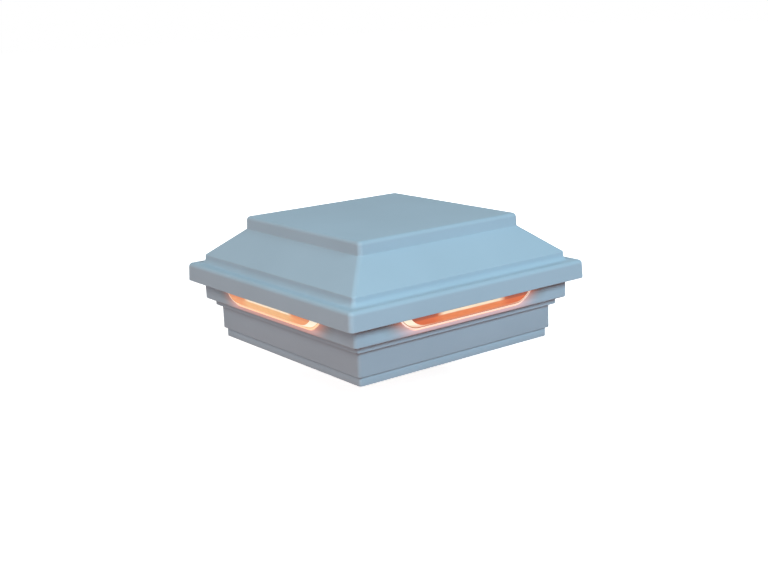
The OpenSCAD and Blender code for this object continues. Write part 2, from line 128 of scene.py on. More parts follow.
def sees_white(tree):
    """1 for rays from the camera and from shiny or clear things, which meet a white studio."""
    camera_ray = node(tree, "ShaderNodeLightPath", output="Is Camera Ray")
    rays = camera_ray.node.outputs
    shiny = node(tree, "ShaderNodeMath", {0: camera_ray, 1: rays["Is Glossy Ray"]}, operation="MAXIMUM")
    return node(tree, "ShaderNodeMath", {0: shiny, 1: rays["Is Transmission Ray"]}, operation="MAXIMUM")


def new_material(name):
    """An empty material, its node tree, and the place on the piece that its patterns follow."""
    material = bpy.data.materials.new(name)
    material.use_nodes = True
    tree = material.node_tree
    tree.nodes.clear()
    return material, tree, node(tree, "ShaderNodeTexCoord", output="Object")


# White painted board. Its own brightness rises away from the object, which leaves only
# the soft shadow near it. For other rays it has a painted warm colour, which throws warm
# light back up as if the windows shone down on it.
floor_paint, tree, place = new_material("white_painted_floor")
away = node(tree, "ShaderNodeVectorMath", {0: place}, "Value", operation="LENGTH")
own_white = node(tree, "ShaderNodeMapRange", {
    "Value": away, "From Min": SHADOW_REACH[0] * MM, "From Max": SHADOW_REACH[1] * MM,
    "To Min": 0.80, "To Max": 1.0})
lift = node(tree, "ShaderNodeEmission", {"Color": WHITE, "Strength": own_white})
matte = node(tree, "ShaderNodeBsdfDiffuse", {"Color": linear("#EDEDED")})
seen = node(tree, "ShaderNodeAddShader", {0: matte, 1: lift})
painted_warm_bounce = node(tree, "ShaderNodeBsdfDiffuse", {"Color": linear("#C87F6C")})
either = node(tree, "ShaderNodeMixShader", {0: sees_white(tree), 1: painted_warm_bounce, 2: seen})
node(tree, "ShaderNodeOutputMaterial", {"Surface": either})

floor_mesh = bpy.data.meshes.new("floor")
corners = [(x * FLOOR_HALF * MM, y * FLOOR_HALF * MM, -FLOOR_BELOW * MM)
           for x, y in ((-1, -1), (1, -1), (1, 1), (-1, 1))]
floor_mesh.from_pydata(corners, [], [(0, 1, 2, 3)])
floor_mesh.materials.append(floor_paint)
floor = bpy.data.objects.new("floor", floor_mesh)
bpy.context.scene.collection.objects.link(floor)

world = bpy.data.worlds.new("studio")
world.use_nodes = True
bpy.context.scene.world = world
tree = world.node_tree
tree.nodes.clear()
dim = node(tree, "ShaderNodeBackground", {"Color": linear("#FFEDE7"), "Strength": 0.03})
white = node(tree, "ShaderNodeBackground", {"Color": WHITE, "Strength": 1.0})
either = node(tree, "ShaderNodeMixShader", {0: sees_white(tree), 1: dim, 2: white})
node(tree, "ShaderNodeOutputWorld", {"Surface": either})


# ---- Base housing -------------------------------------------------------------------------
# Collar, step, floor and skirt are one injection moulding in weatherproof ASA plastic. Four
# windows are cut through the collar, and its wall round them gets a painted glow, painted shade
# and a painted bright rim.
SHELL_COLOUR = "#AABFCD"
# the shell's colour under the painted shade round the windows, then the painted glow and rim
PAINTED_SHADE_SHELL_COLOUR = "#919EA3"
GLOW_COLOUR, GLOW_STRENGTH = "#FF8159", 0.39
PAINTED_RIM_COLOUR, PAINTED_RIM_STRENGTH = "#FFB376", 0.72
WINDOW_Z, WINDOW_TOP_Z, WINDOW_HALF, WINDOW_SPLAY, WINDOW_CORNER_R = 23.2, 34.0, 36.7, 0.8, 13.0
COLLAR_Z, COLLAR_HALF, COLLAR_EDGE_R = 20.7, 67.25, 0.7
STEP_Z, STEP_HALF, STEP_EDGE_R = 17.2, 63.65, 0.4
BASE_EDGE_R, BASE_CORNER_R = 0.35, 2.0
CORNER_SWEEP = math.radians(90) - math.atan(WINDOW_SPLAY)
SHARP_FROM = math.radians(32)  # a gentler edge between two faces is drawn smooth
FLAT_WITHIN = math.radians(1)
JOIN_WITHIN = 0.002 * MM


def along_and_up(tree, place):
    """How far a point lies along its side from the middle, its height, and 1 at left or right."""
    positive = node(tree, "ShaderNodeVectorMath", {0: place}, operation="ABSOLUTE")
    x = node(tree, "ShaderNodeSeparateXYZ", {0: positive})
    y, up = x.node.outputs[1], x.node.outputs[2]
    along = node(tree, "ShaderNodeMath", {0: x, 1: y}, operation="MINIMUM")
    at_left_or_right = node(tree, "ShaderNodeMath", {0: x, 1: y}, operation="GREATER_THAN")
    return along, up, at_left_or_right


def two_tones(tree, factor, first, second):
    """From the first colour to the second. A colour is sRGB hex or the output of a node."""
    first, second = [linear(c) if isinstance(c, str) else c for c in (first, second)]
    return node(tree, "ShaderNodeMix", {"Factor": factor, 6: first, 7: second}, 2, data_type="RGBA")


def window_glow(tree, place):
    """Painted glow round a window, as if light leaked through the collar, the share of painted
    shade there, and 1 on the cut edge, where a bright rim is painted.
    """
    along, up, _ = along_and_up(tree, place)
    # distance from the window's outline: a straight lower edge between two wide corner arcs
    turn_z = WINDOW_Z + WINDOW_CORNER_R * (1 - math.cos(CORNER_SWEEP))
    turn_x = WINDOW_HALF + (turn_z - WINDOW_Z) * WINDOW_SPLAY
    flat_x = turn_x - WINDOW_CORNER_R * math.sin(CORNER_SWEEP)
    past_flat = node(tree, "ShaderNodeMath", {0: along, 1: flat_x * MM}, operation="SUBTRACT")
    past_flat = node(tree, "ShaderNodeMath", {0: past_flat, 1: 0.0}, operation="MAXIMUM")
    below = node(tree, "ShaderNodeMath", {0: up, 1: (WINDOW_Z + WINDOW_CORNER_R) * MM},
                 operation="SUBTRACT")
    from_centre = node(tree, "ShaderNodeCombineXYZ", {0: past_flat, 1: below})
    reach = node(tree, "ShaderNodeVectorMath", {0: from_centre}, "Value", operation="LENGTH")
    near = node(tree, "ShaderNodeMapRange", {
        "Value": reach, "From Min": (WINDOW_CORNER_R + 0.8) * MM, "From Max": (WINDOW_CORNER_R + 12) * MM,
        "To Min": 1, "To Max": 0})
    on_collar = node(tree, "ShaderNodeMapRange", {
        "Value": up, "From Min": (COLLAR_Z - 0.3) * MM, "From Max": (COLLAR_Z + 0.3) * MM})
    near = node(tree, "ShaderNodeMath", {0: near, 1: on_collar}, operation="MULTIPLY")
    # beside a window the painted glow is a little weaker than under it, and the painted shade deeper
    beside = node(tree, "ShaderNodeMapRange", {
        "Value": up, "From Min": WINDOW_Z * MM, "From Max": (WINDOW_Z + 1.5) * MM})
    share = node(tree, "ShaderNodeMapRange", {"Value": beside, "To Min": 1, "To Max": 0.88})
    lit = node(tree, "ShaderNodeMath", {0: near, 1: 3}, operation="POWER")
    lit = node(tree, "ShaderNodeMath", {0: lit, 1: share}, operation="MULTIPLY")
    share = node(tree, "ShaderNodeMapRange", {"Value": beside, "To Min": 0.35, "To Max": 1})
    shade = node(tree, "ShaderNodeMath", {0: near, 1: share}, operation="MULTIPLY")
    share = node(tree, "ShaderNodeMapRange", {"Value": beside, "To Min": 1, "To Max": 0.12})
    rim = node(tree, "ShaderNodeMapRange", {
        "Value": reach, "From Min": (WINDOW_CORNER_R + 0.3) * MM, "From Max": (WINDOW_CORNER_R + 0.55) * MM,
        "To Min": 1, "To Max": 0})
    rim = node(tree, "ShaderNodeMath", {0: rim, 1: share}, operation="MULTIPLY")
    return lit, shade, node(tree, "ShaderNodeMath", {0: rim, 1: on_collar}, operation="MULTIPLY")


def coated(material, skin):
    """Gives a material its surface, a principled shader with these values."""
    tree = material.node_tree
    surface = node(tree, "ShaderNodeBsdfPrincipled", skin)
    node(tree, "ShaderNodeOutputMaterial", {"Surface": surface})
    return material


# Moulded ASA with a fine satin texture: even colour, a broad soft sheen and no mirror image.
def shell_plastic(name, with_painted_window_glow=False):
    material, tree, place = new_material(name)
    shell_colour = linear(SHELL_COLOUR)
    if with_painted_window_glow:
        # painted glow near a window, as if through the thin wall, and painted shade that greys it there
        lit, shade, rim = window_glow(tree, place)
        shell_colour = two_tones(tree, shade, SHELL_COLOUR, PAINTED_SHADE_SHELL_COLOUR)
    # slow drift in tone from the way the plastic fills the mould, about 45 mm across
    drift = node(tree, "ShaderNodeTexNoise", {"Vector": place, "Scale": 22, "Detail": 2})
    tone = node(tree, "ShaderNodeMapRange", {
        "Value": drift, "From Min": 0.3, "From Max": 0.7, "To Min": 0.975, "To Max": 1.02})
    colour = node(tree, "ShaderNodeMix", {"Factor": 1, 6: shell_colour, 7: tone}, 2,
                  data_type="RGBA", blend_type="MULTIPLY")
    # the mould's texture is finer than 0.1 mm and is drawn at 0.8 mm so that it can show
    grain = node(tree, "ShaderNodeTexNoise", {"Vector": place, "Scale": 1250, "Detail": 2})
    rough = node(tree, "ShaderNodeMapRange", {"Value": grain, "To Min": 0.52, "To Max": 0.62})
    fine = node(tree, "ShaderNodeBump", {"Strength": 0.035, "Distance": 0.2 * MM, "Height": grain})
    # large faces sink by a few hundredths over about 6 mm as they cool
    waves = node(tree, "ShaderNodeTexNoise", {"Vector": place, "Scale": 160, "Detail": 1})
    surface = node(tree, "ShaderNodeBump", {
        "Strength": 0.03, "Distance": 0.5 * MM, "Height": waves, "Normal": fine})
    skin = {"Base Color": colour, "Roughness": rough, "IOR": 1.48, "Specular IOR Level": 0.05,
            "Normal": surface}
    if with_painted_window_glow:
        glow = node(tree, "ShaderNodeMath", {0: lit, 1: GLOW_STRENGTH}, operation="MULTIPLY")
        strength = node(tree, "ShaderNodeMath", {0: rim, 1: PAINTED_RIM_STRENGTH, 2: glow},
                        operation="MULTIPLY_ADD")
        skin.update({"Emission Color": two_tones(tree, rim, GLOW_COLOUR, PAINTED_RIM_COLOUR),
                     "Emission Strength": strength})
    return coated(material, skin)


def new_piece(name, mesh, body, slot, *replaced):
    """A finished piece on a body. It stands in for the loaded nodes that are named last."""
    piece = bpy.data.objects.new(name, mesh)
    bpy.context.scene.collection.objects.link(piece)
    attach(piece, body)
    if replaced:
        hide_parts(*replaced)
    return piece


def smooth_by_angle(piece, sharp_from=SHARP_FROM):
    """Smooth shading where faces meet gently, and crisp edges elsewhere."""
    piece.data.shade_smooth()
    piece.data.set_sharp_from_angle(angle=sharp_from)
    weights = piece.modifiers.new("flat_faces_stay_flat", "WEIGHTED_NORMAL")
    weights.keep_sharp = True
    weights.weight = 90


def round_edges(piece, radius, segments=2):
    """Rounds each sharp edge by its small real radius."""
    edges = piece.modifiers.new("rounded_edges", "BEVEL")
    edges.width = radius * MM
    edges.segments = segments
    edges.limit_method = "ANGLE"
    edges.angle_limit = SHARP_FROM
    edges.harden_normals = True
    piece.data.shade_smooth()


def loaded_shape(node_name):
    """A loaded node's mesh as a bmesh, with its loose triangles joined."""
    shape = bmesh.new()
    shape.from_mesh(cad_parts[node_name].data)
    bmesh.ops.remove_doubles(shape, verts=shape.verts, dist=JOIN_WITHIN)
    return shape


def whole_faces(shape):
    """Makes one face of the triangles that lie in one plane."""
    bmesh.ops.dissolve_limit(shape, angle_limit=FLAT_WITHIN, verts=shape.verts, edges=shape.edges)


def as_mesh(shape, name, *materials):
    """Turns a bmesh into a mesh with these materials."""
    mesh = bpy.data.meshes.new(name)
    shape.to_mesh(mesh)
    shape.free()
    for material in materials:
        mesh.materials.append(material)
    return mesh


def merged_copy(node_name, name, *materials):
    """A copy of a loaded node's mesh in whole faces, with materials of its own."""
    shape = loaded_shape(node_name)
    whole_faces(shape)
    return as_mesh(shape, name, *materials)


def round_lower_edge(mesh, low_z, half, radius):
    """Rounds the lower outer edge of one storey of a square shell, all the way round."""
    shape = bmesh.new()
    shape.from_mesh(mesh)
    tolerance = 0.05 * MM
    outer = half * MM - tolerance
    round_corner = (half - BASE_CORNER_R) * MM - tolerance

    def on_edge(vert):
        nearer, further = sorted((abs(vert.co.x), abs(vert.co.y)))
        return abs(vert.co.z - low_z * MM) < tolerance and (further > outer or nearer > round_corner)

    around = [edge for edge in shape.edges if all(on_edge(v) for v in edge.verts)]
    bmesh.ops.bevel(shape, geom=around, offset=radius * MM, segments=4, profile=0.5, affect="EDGES")
    shape.to_mesh(mesh)
    shape.free()


housing_plastic = shell_plastic("satin_moulded_asa_with_painted_window_glow", with_painted_window_glow=True)
housing_mesh = merged_copy("base_housing", "collar_floor_and_skirt", housing_plastic)
for low_z, half, radius in ((COLLAR_Z, COLLAR_HALF, COLLAR_EDGE_R), (STEP_Z, STEP_HALF, STEP_EDGE_R)):
    round_lower_edge(housing_mesh, low_z, half, radius)
housing = new_piece("collar_floor_and_skirt", housing_mesh, "base", "moulded_shell", "base_housing")
round_edges(housing, BASE_EDGE_R)


# ---- Post adapter -------------------------------------------------------------------------
# A loose ring of the same ASA that is pushed into the skirt from below. Its ribs centre the
# light on the post, and its rim shows as a narrow band under the skirt.
ADAPTER_EDGE_R = 0.3

plain_plastic = shell_plastic("satin_moulded_asa")
adapter = new_piece("post_adapter_ring", merged_copy("post_adapter", "post_adapter_ring", plain_plastic),
                    "adapter", "moulded_shell", "post_adapter")
round_edges(adapter, ADAPTER_EDGE_R)


# ---- Wire grommet -------------------------------------------------------------------------
# A turned-in ring of soft black rubber, snapped into the raised hole in the floor. The supply
# lead comes up through it.
GROMMET_Y, GROMMET_SEAT_Z, FLOOR_T = -22, 19.2, 2.2
GROMMET_BORE_R, GROMMET_NECK_R, GROMMET_FLANGE_R, GROMMET_FLANGE_T = 3.5, 8.0, 10.5, 1.8
BORE_EDGE_R, RIM_EDGE_R, SEAT_EDGE_R = 0.6, 0.7, 0.3


def arc(w, z, r, start, end, steps):
    """Points [half width, height] along an arc, with its angles in degrees."""
    angles = [math.radians(start + (end - start) * i / steps) for i in range(steps + 1)]
    return [(w + r * math.cos(a), z + r * math.sin(a)) for a in angles]


def band(shape, low, high, material=0):
    """Joins two rings of corners in a bmesh with a band of faces, and returns the faces."""
    faces = []
    for i in range(len(low)):
        j = (i + 1) % len(low)
        faces.append(shape.faces.new((low[i], low[j], high[j], high[i])))
        faces[-1].material_index = material
    return faces


def turned(name, profile, centre, *materials, bands=None, steps=64):
    """A solid of revolution round a vertical axis. A profile that starts and ends off the axis
    closes on itself. bands gives each stretch of the profile its material's number."""
    shape = bmesh.new()
    rings = []
    for w, z in profile:
        count = steps if w > 0 else 1
        rings.append([shape.verts.new((MM * (centre[0] + w * math.cos(2 * math.pi * i / steps)),
                                       MM * (centre[1] + w * math.sin(2 * math.pi * i / steps)), MM * z))
                      for i in range(count)])
    stretches = list(zip(rings, rings[1:]))
    if len(rings[0]) > 1:
        stretches.append((rings[-1], rings[0]))
    for k, (low, high) in enumerate(stretches):
        for i in range(steps):
            j = (i + 1) % steps
            corners = [low[i % len(low)], low[j % len(low)], high[j % len(high)], high[i % len(high)]]
            face = shape.faces.new(list(dict.fromkeys(corners)))
            face.material_index = bands[k] if bands else 0
    bmesh.ops.recalc_face_normals(shape, faces=shape.faces)
    return as_mesh(shape, name, *materials)


# Moulded rubber: nearly black, dull, with a faint grey bloom and fine pores.
def soft_rubber():
    material, tree, place = new_material("soft_black_rubber")
    # bloom in patches of about 8 mm, pores drawn at 0.7 mm
    bloom = node(tree, "ShaderNodeTexNoise", {"Vector": place, "Scale": 120, "Detail": 3})
    pores = node(tree, "ShaderNodeTexNoise", {"Vector": place, "Scale": 1400, "Detail": 1})
    surface = node(tree, "ShaderNodeBump", {"Strength": 0.12, "Distance": 0.1 * MM, "Height": pores})
    skin = {"Base Color": two_tones(tree, bloom, "#202224", "#34373A"), "Roughness": 0.68, "IOR": 1.52,
            "Normal": surface}
    return coated(material, skin)


rubber = soft_rubber()
low_face = GROMMET_SEAT_Z - GROMMET_FLANGE_T
high_seat = GROMMET_SEAT_Z + FLOOR_T
high_face = high_seat + GROMMET_FLANGE_T
bore_w = GROMMET_BORE_R + BORE_EDGE_R
rim_w = GROMMET_FLANGE_R - RIM_EDGE_R
seat_w = GROMMET_FLANGE_R - SEAT_EDGE_R
grommet_profile = (
    arc(bore_w, low_face + BORE_EDGE_R, BORE_EDGE_R, 180, 270, 4)
    + arc(rim_w, low_face + RIM_EDGE_R, RIM_EDGE_R, 270, 360, 5)
    + arc(seat_w, GROMMET_SEAT_Z - SEAT_EDGE_R, SEAT_EDGE_R, 0, 90, 3)
    + [(GROMMET_NECK_R, GROMMET_SEAT_Z), (GROMMET_NECK_R, high_seat)]
    + arc(seat_w, high_seat + SEAT_EDGE_R, SEAT_EDGE_R, 270, 360, 3)
    + arc(rim_w, high_face - RIM_EDGE_R, RIM_EDGE_R, 0, 90, 5)
    + arc(bore_w, high_face - BORE_EDGE_R, BORE_EDGE_R, 90, 180, 4))
grommet_mesh = turned("lead_grommet", grommet_profile, (0, GROMMET_Y), rubber)
grommet = new_piece("lead_grommet", grommet_mesh, "base", "black_rubber", "wire_grommet")
smooth_by_angle(grommet)


# ---- Window lenses ------------------------------------------------------------------------
# Four translucent amber polycarbonate mouldings. A plate lies inside the collar, held by two
# melted pins, and a bevelled face stands 3 mm out of the window. Their light from behind is
# painted on as a glow.
SIDES = ("front", "right", "back", "left")
LENS_FIT, LENS_CORNER_R, LENS_PROUD, COLLAR_WALL = 0.15, WINDOW_CORNER_R, 3.0, 2.2
LENS_SHARP_FROM = math.radians(25)


def side_turn(side):
    """The turn from the front to a side, by its number in SIDES."""
    return Matrix.Rotation(math.pi / 2 * side, 3, "Z")


def finished(shape, name, *materials, side=0, bevel=0.0):
    """Turns a bmesh made at the front to its side, as a mesh with its faces outwards."""
    if bevel:
        bmesh.ops.bevel(shape, geom=shape.edges[:], offset=bevel * MM, segments=1, affect="EDGES")
    bmesh.ops.recalc_face_normals(shape, faces=shape.faces)
    bmesh.ops.rotate(shape, verts=shape.verts, cent=(0, 0, 0), matrix=side_turn(side))
    return as_mesh(shape, name, *materials)


def window_ring(out, low, corner_r, inset):
    """A window's outline at one distance from the middle, as points [along, out, up]."""
    turn_z = low + corner_r * (1 - math.cos(CORNER_SWEEP))
    turn_x = WINDOW_HALF + (turn_z - WINDOW_Z) * WINDOW_SPLAY - inset
    top_x = WINDOW_HALF + (WINDOW_TOP_Z - WINDOW_Z) * WINDOW_SPLAY - inset
    flat_x = turn_x - corner_r * math.sin(CORNER_SWEEP)
    angles = [CORNER_SWEEP * i / 8 for i in range(9)]
    half = [(flat_x + corner_r * math.sin(a), low + corner_r * (1 - math.cos(a))) for a in angles]
    half.append((top_x, WINDOW_TOP_Z))
    return [(x, out, z) for x, z in half] + [(-x, out, z) for x, z in reversed(half)]


lens_low = WINDOW_Z + LENS_FIT
lens_front = COLLAR_HALF + LENS_PROUD
LIP, GROOVE, BEVEL, FACE = 0, 1, 2, 3
# distance out, lower edge, corner radius, inset of the ends, and which band ends there
lens_steps = [
    (COLLAR_HALF - COLLAR_WALL, lens_low, LENS_CORNER_R, LENS_FIT, LIP),
    (COLLAR_HALF + 0.50, lens_low, LENS_CORNER_R, LENS_FIT, LIP),
    (COLLAR_HALF + 0.62, lens_low + 0.12, LENS_CORNER_R, LENS_FIT + 0.12, LIP),
    (COLLAR_HALF + 0.62, lens_low + 0.50, LENS_CORNER_R - 0.4, LENS_FIT + 0.6, LIP),
    (COLLAR_HALF + 0.30, lens_low + 0.66, LENS_CORNER_R - 0.5, LENS_FIT + 0.85, GROOVE),
    (COLLAR_HALF + 0.45, lens_low + 0.84, LENS_CORNER_R - 0.6, LENS_FIT + 1.05, GROOVE),
    (lens_front - 0.40, WINDOW_Z + 1.70, LENS_CORNER_R - 1.9, 3.85, BEVEL),
    (lens_front - 0.10, WINDOW_Z + 1.92, LENS_CORNER_R - 2.1, 4.2, BEVEL),
    (lens_front, WINDOW_Z + 2.30, LENS_CORNER_R - 2.4, 4.7, BEVEL),
]


def lens_mesh(side):
    """The loaded lens's plate, with a finer lip, groove and bevelled face in front of it."""
    shape = loaded_shape("lens_front")
    ahead = [v for v in shape.verts if -v.co.y > (COLLAR_HALF - COLLAR_WALL + 0.05) * MM]
    bmesh.ops.delete(shape, geom=ahead, context="VERTS")
    whole_faces(shape)
    rings = [[shape.verts.new((x * MM, -out * MM, z * MM)) for x, out, z in window_ring(*step[:4])]
             for step in lens_steps]
    for behind, before, step in zip(rings, rings[1:], lens_steps[1:]):
        band(shape, behind, before, step[4])
    shape.faces.new(rings[-1]).material_index = FACE
    bmesh.ops.remove_doubles(shape, verts=shape.verts, dist=0.005 * MM)
    return finished(shape, "window_lens_" + SIDES[side], *amber_bands, side=side)


# Lit amber polycarbonate: what shows is mostly a painted glow for the light from inside,
# under a glossy skin. The lenses at left and right glow a step yellower.
def lit_amber(name, colour_of, strength):
    material, tree, place = new_material(name)
    # faint streaks in the painted glow, from the prisms moulded on the back, about 4 mm long and 0.5 mm
    # high
    stretch = node(tree, "ShaderNodeMapping", {"Vector": place, "Scale": (250, 250, 1900)})
    streaks = node(tree, "ShaderNodeTexNoise", {"Vector": stretch, "Scale": 1, "Detail": 1})
    level = node(tree, "ShaderNodeMapRange", {
        "Value": streaks, "From Min": 0.3, "From Max": 0.7,
        "To Min": strength * 0.93, "To Max": strength * 1.05})
    skin = {"Base Color": linear("#5A2A18"), "Roughness": 0.28, "IOR": 1.585, "Specular IOR Level": 0.15,
            "Emission Color": colour_of(tree, *along_and_up(tree, place)), "Emission Strength": level}
    return coated(material, skin)


def face_colour(tree, along, up, at_left_or_right):
    # the painted glow is deeper past the bar's ends, with painted shade near the top there
    middle = two_tones(tree, at_left_or_right, "#E58452", "#EDB67C")
    ends = two_tones(tree, at_left_or_right, "#D86A40", "#EC9C66")
    dark = two_tones(tree, at_left_or_right, "#A45540", "#DC8A5C")
    past_bar = node(tree, "ShaderNodeMapRange", {"Value": along, "From Min": 18 * MM, "From Max": 24 * MM})
    near_top = node(tree, "ShaderNodeMapRange", {"Value": up, "From Min": 27.7 * MM, "From Max": 28.5 * MM})
    painted_shade_share = node(tree, "ShaderNodeMath", {0: past_bar, 1: near_top}, operation="MULTIPLY")
    colour = two_tones(tree, painted_shade_share, two_tones(tree, past_bar, middle, ends), dark)
    # a painted bright line under the flange stands for the frosted bar behind
    beside_bar = node(tree, "ShaderNodeMapRange", {
        "Value": along, "From Min": 17.5 * MM, "From Max": 21.5 * MM, "To Min": 1, "To Max": 0})
    at_bar = node(tree, "ShaderNodeMapRange", {"Value": up, "From Min": 27.95 * MM, "From Max": 28.5 * MM})
    bar = node(tree, "ShaderNodeMath", {0: beside_bar, 1: at_bar}, operation="MULTIPLY")
    return two_tones(tree, bar, colour, "#FFECCC")


def bevel_colour(tree, along, up, at_left_or_right):
    low = two_tones(tree, at_left_or_right, "#D98A66", "#F0B488")
    near_end = node(tree, "ShaderNodeMapRange", {"Value": along, "From Min": 24 * MM, "From Max": 33 * MM})
    # the painted pale light at the ends fades towards the lower edge, more so at front and back
    least = node(tree, "ShaderNodeMapRange", {"Value": at_left_or_right, "To Min": 0.45, "To Max": 0.9})
    fade = node(tree, "ShaderNodeMapRange", {
        "Value": up, "From Min": 25.0 * MM, "From Max": 26.8 * MM, "To Min": least, "To Max": 1})
    pale = node(tree, "ShaderNodeMath", {0: near_end, 1: fade}, operation="MULTIPLY")
    return two_tones(tree, pale, low, "#FDF6DC")


def lip_colour(tree, along, up, at_left_or_right):
    return two_tones(tree, at_left_or_right, "#FFE6DA", "#FFD8AE")


def groove_colour(tree, along, up, at_left_or_right):
    return two_tones(tree, at_left_or_right, "#BC7A5A", "#EFBA80")


amber_bands = [lit_amber("amber_polycarbonate_lip", lip_colour, 0.97),
               lit_amber("amber_polycarbonate_groove", groove_colour, 0.90),
               lit_amber("amber_polycarbonate_bevel", bevel_colour, 0.95),
               lit_amber("amber_polycarbonate_face", face_colour, 0.92)]
for side in range(4):
    name = "window_lens_" + SIDES[side]
    lens = new_piece(name, lens_mesh(side), "base", "amber_lens", "lens_" + SIDES[side])
    smooth_by_angle(lens, LENS_SHARP_FROM)


# ---- Carrier bracket ----------------------------------------------------------------------
# One sheet of 1.5 mm aluminium, punched and folded up at its four edges. It carries the
# emitter boards and the driver, and spreads the emitters' heat.
BRACKET_EDGE_R = 0.2


def fine_finish(name, dark, light, scale, detail, skin, gloss=None, relief=None, stretch=None):
    """A material with one fine noise between two tones, at a scale in waves a metre. The noise
    can also vary the roughness, by gloss, and the height, by relief: its strength and depth."""
    material, tree, place = new_material(name)
    if stretch:
        place = node(tree, "ShaderNodeMapping", {"Vector": place, "Scale": stretch})
    noise = node(tree, "ShaderNodeTexNoise", {"Vector": place, "Scale": scale, "Detail": detail})
    skin["Base Color"] = two_tones(tree, noise, dark, light)
    if gloss:
        skin["Roughness"] = node(tree, "ShaderNodeMapRange", {
            "Value": noise, "To Min": gloss[0], "To Max": gloss[1]})
    if relief:
        skin["Normal"] = node(tree, "ShaderNodeBump", {
            "Strength": relief[0], "Distance": relief[1] * MM, "Height": noise})
    return coated(material, skin)


# Mill-finished aluminium: pale, with fine rolling lines that draw reflections out sideways.
# They are about 25 mm long, and drawn 0.4 mm apart so that they can show.
aluminium = fine_finish("mill_finished_aluminium", "#BFC2C4", "#DADCDD", 1, 3, {"Metallic": 1},
                        gloss=(0.26, 0.44), relief=(0.10, 0.05), stretch=(40, 2500, 2500))

bracket_mesh = merged_copy("led_bracket", "folded_carrier_bracket", aluminium)
bracket = new_piece("folded_carrier_bracket", bracket_mesh, "base", "bracket_aluminium", "led_bracket")
round_edges(bracket, BRACKET_EDGE_R)


# ---- Bracket screws -----------------------------------------------------------------------
# Four zinc-plated steel pan head screws, driven through the bracket into the floor's bosses.
SCREW_HEAD_R, SCREW_HEAD_H, SCREW_SHANK_R = 2.8, 1.8, 1.4
SCREW_DOME_H, SCREW_POINT_H, SCREW_POINT_R, SCREW_BRIM_R = 0.9, 0.9, 0.7, 0.15
RECESS_HALF, RECESS_T, RECESS_DEPTH = 1.5, 0.6, 1.1
SCREW_LOOSE_TURN = 1.5  # screws stop at any angle up to this, in radians
BRACKET_SCREW_AT, BRACKET_TOP_Z, BRACKET_SCREW_LENGTH = 38, 26.5, 5.5


def new_grower(name, inputs):
    """An empty geometry node tree with these inputs beside its mesh, and its mesh input."""
    tree = bpy.data.node_groups.new(name, "GeometryNodeTree")
    tree.interface.new_socket("Geometry", in_out="OUTPUT", socket_type="NodeSocketGeometry")
    for label, kind in {"Geometry": "Geometry", **inputs}.items():
        tree.interface.new_socket(label, in_out="INPUT", socket_type="NodeSocket" + kind)
    return tree, node(tree, "NodeGroupInput")


def copies_at_points():
    """A node tree that stands a part on every point and gives it one or two materials."""
    tree, points = new_grower("copies_at_points", {
        "Part": "Object", "Turn": "Float", "Loose turn": "Float", "Material": "Material",
        "Second material": "Material"})
    given = points.node.outputs
    part = node(tree, "GeometryNodeObjectInfo", {"Object": given["Part"]}, "Geometry")
    loose = node(tree, "FunctionNodeRandomValue", {"Max": given["Loose turn"], "Seed": 7}, "Value",
                 data_type="FLOAT")
    angle = node(tree, "ShaderNodeMath", {0: given["Turn"], 1: loose}, operation="ADD")
    turn = node(tree, "ShaderNodeCombineXYZ", {"Z": angle})
    copies = node(tree, "GeometryNodeInstanceOnPoints", {
        "Points": points, "Instance": part, "Rotation": turn})
    real = node(tree, "GeometryNodeRealizeInstances", {"Geometry": copies})
    dressed = node(tree, "GeometryNodeSetMaterial", {"Geometry": real, "Material": given["Material"]})
    marked = node(tree, "GeometryNodeInputNamedAttribute", {"Name": "second_material"}, "Attribute",
                  data_type="BOOLEAN")
    both = node(tree, "GeometryNodeSetMaterial", {
        "Geometry": dressed, "Selection": marked, "Material": given["Second material"]})
    node(tree, "NodeGroupOutput", {"Geometry": both})
    return tree


def made_real(name, source, *helpers):
    """The plain mesh that an object's modifiers make. The object and its helpers are removed."""
    objects = [source, *helpers]
    for item in objects:
        bpy.context.scene.collection.objects.link(item)
    bpy.context.view_layer.update()
    ready = source.evaluated_get(bpy.context.evaluated_depsgraph_get())
    mesh = bpy.data.meshes.new_from_object(ready)
    mesh.name = name
    for item in objects:
        bpy.data.objects.remove(item)
    return mesh


def grown_mesh(tree, name, mesh, values, *helpers):
    """Runs a node tree on a mesh and returns the plain mesh that it makes."""
    source = bpy.data.objects.new(name, mesh)
    grower = source.modifiers.new("grower", "NODES")
    grower.node_group = tree
    for item in tree.interface.items_tree:
        if item.in_out == "INPUT" and item.name in values:
            grower[item.identifier] = values[item.name]
    return made_real(name, source, *helpers)


def placed_copies(name, part_mesh, places, material, second=None, side=0, loose=0.0):
    """Copies of a part, with its own origin at each of these places of the front side, and all
    of them turned to another side."""
    points = bpy.data.meshes.new(name + "_places")
    points.from_pydata([MM * (side_turn(side) @ Vector(place)) for place in places], [], [])
    part = bpy.data.objects.new(name + "_part", part_mesh)
    values = {"Part": part, "Turn": math.pi / 2 * side, "Loose turn": loose, "Material": material,
              "Second material": second or material}
    return grown_mesh(copies_tree, name, points, values, part)


def box(shape, low, high, material=0):
    """Adds a closed box between two corners to a bmesh and returns its corners."""
    verts = [shape.verts.new((MM * x, MM * y, MM * z))
             for x in (low[0], high[0]) for y in (low[1], high[1]) for z in (low[2], high[2])]
    for face in ((0, 1, 3, 2), (4, 6, 7, 5), (0, 4, 5, 1), (2, 3, 7, 6), (0, 2, 6, 4), (1, 5, 7, 3)):
        shape.faces.new([verts[i] for i in face]).material_index = material
    return verts


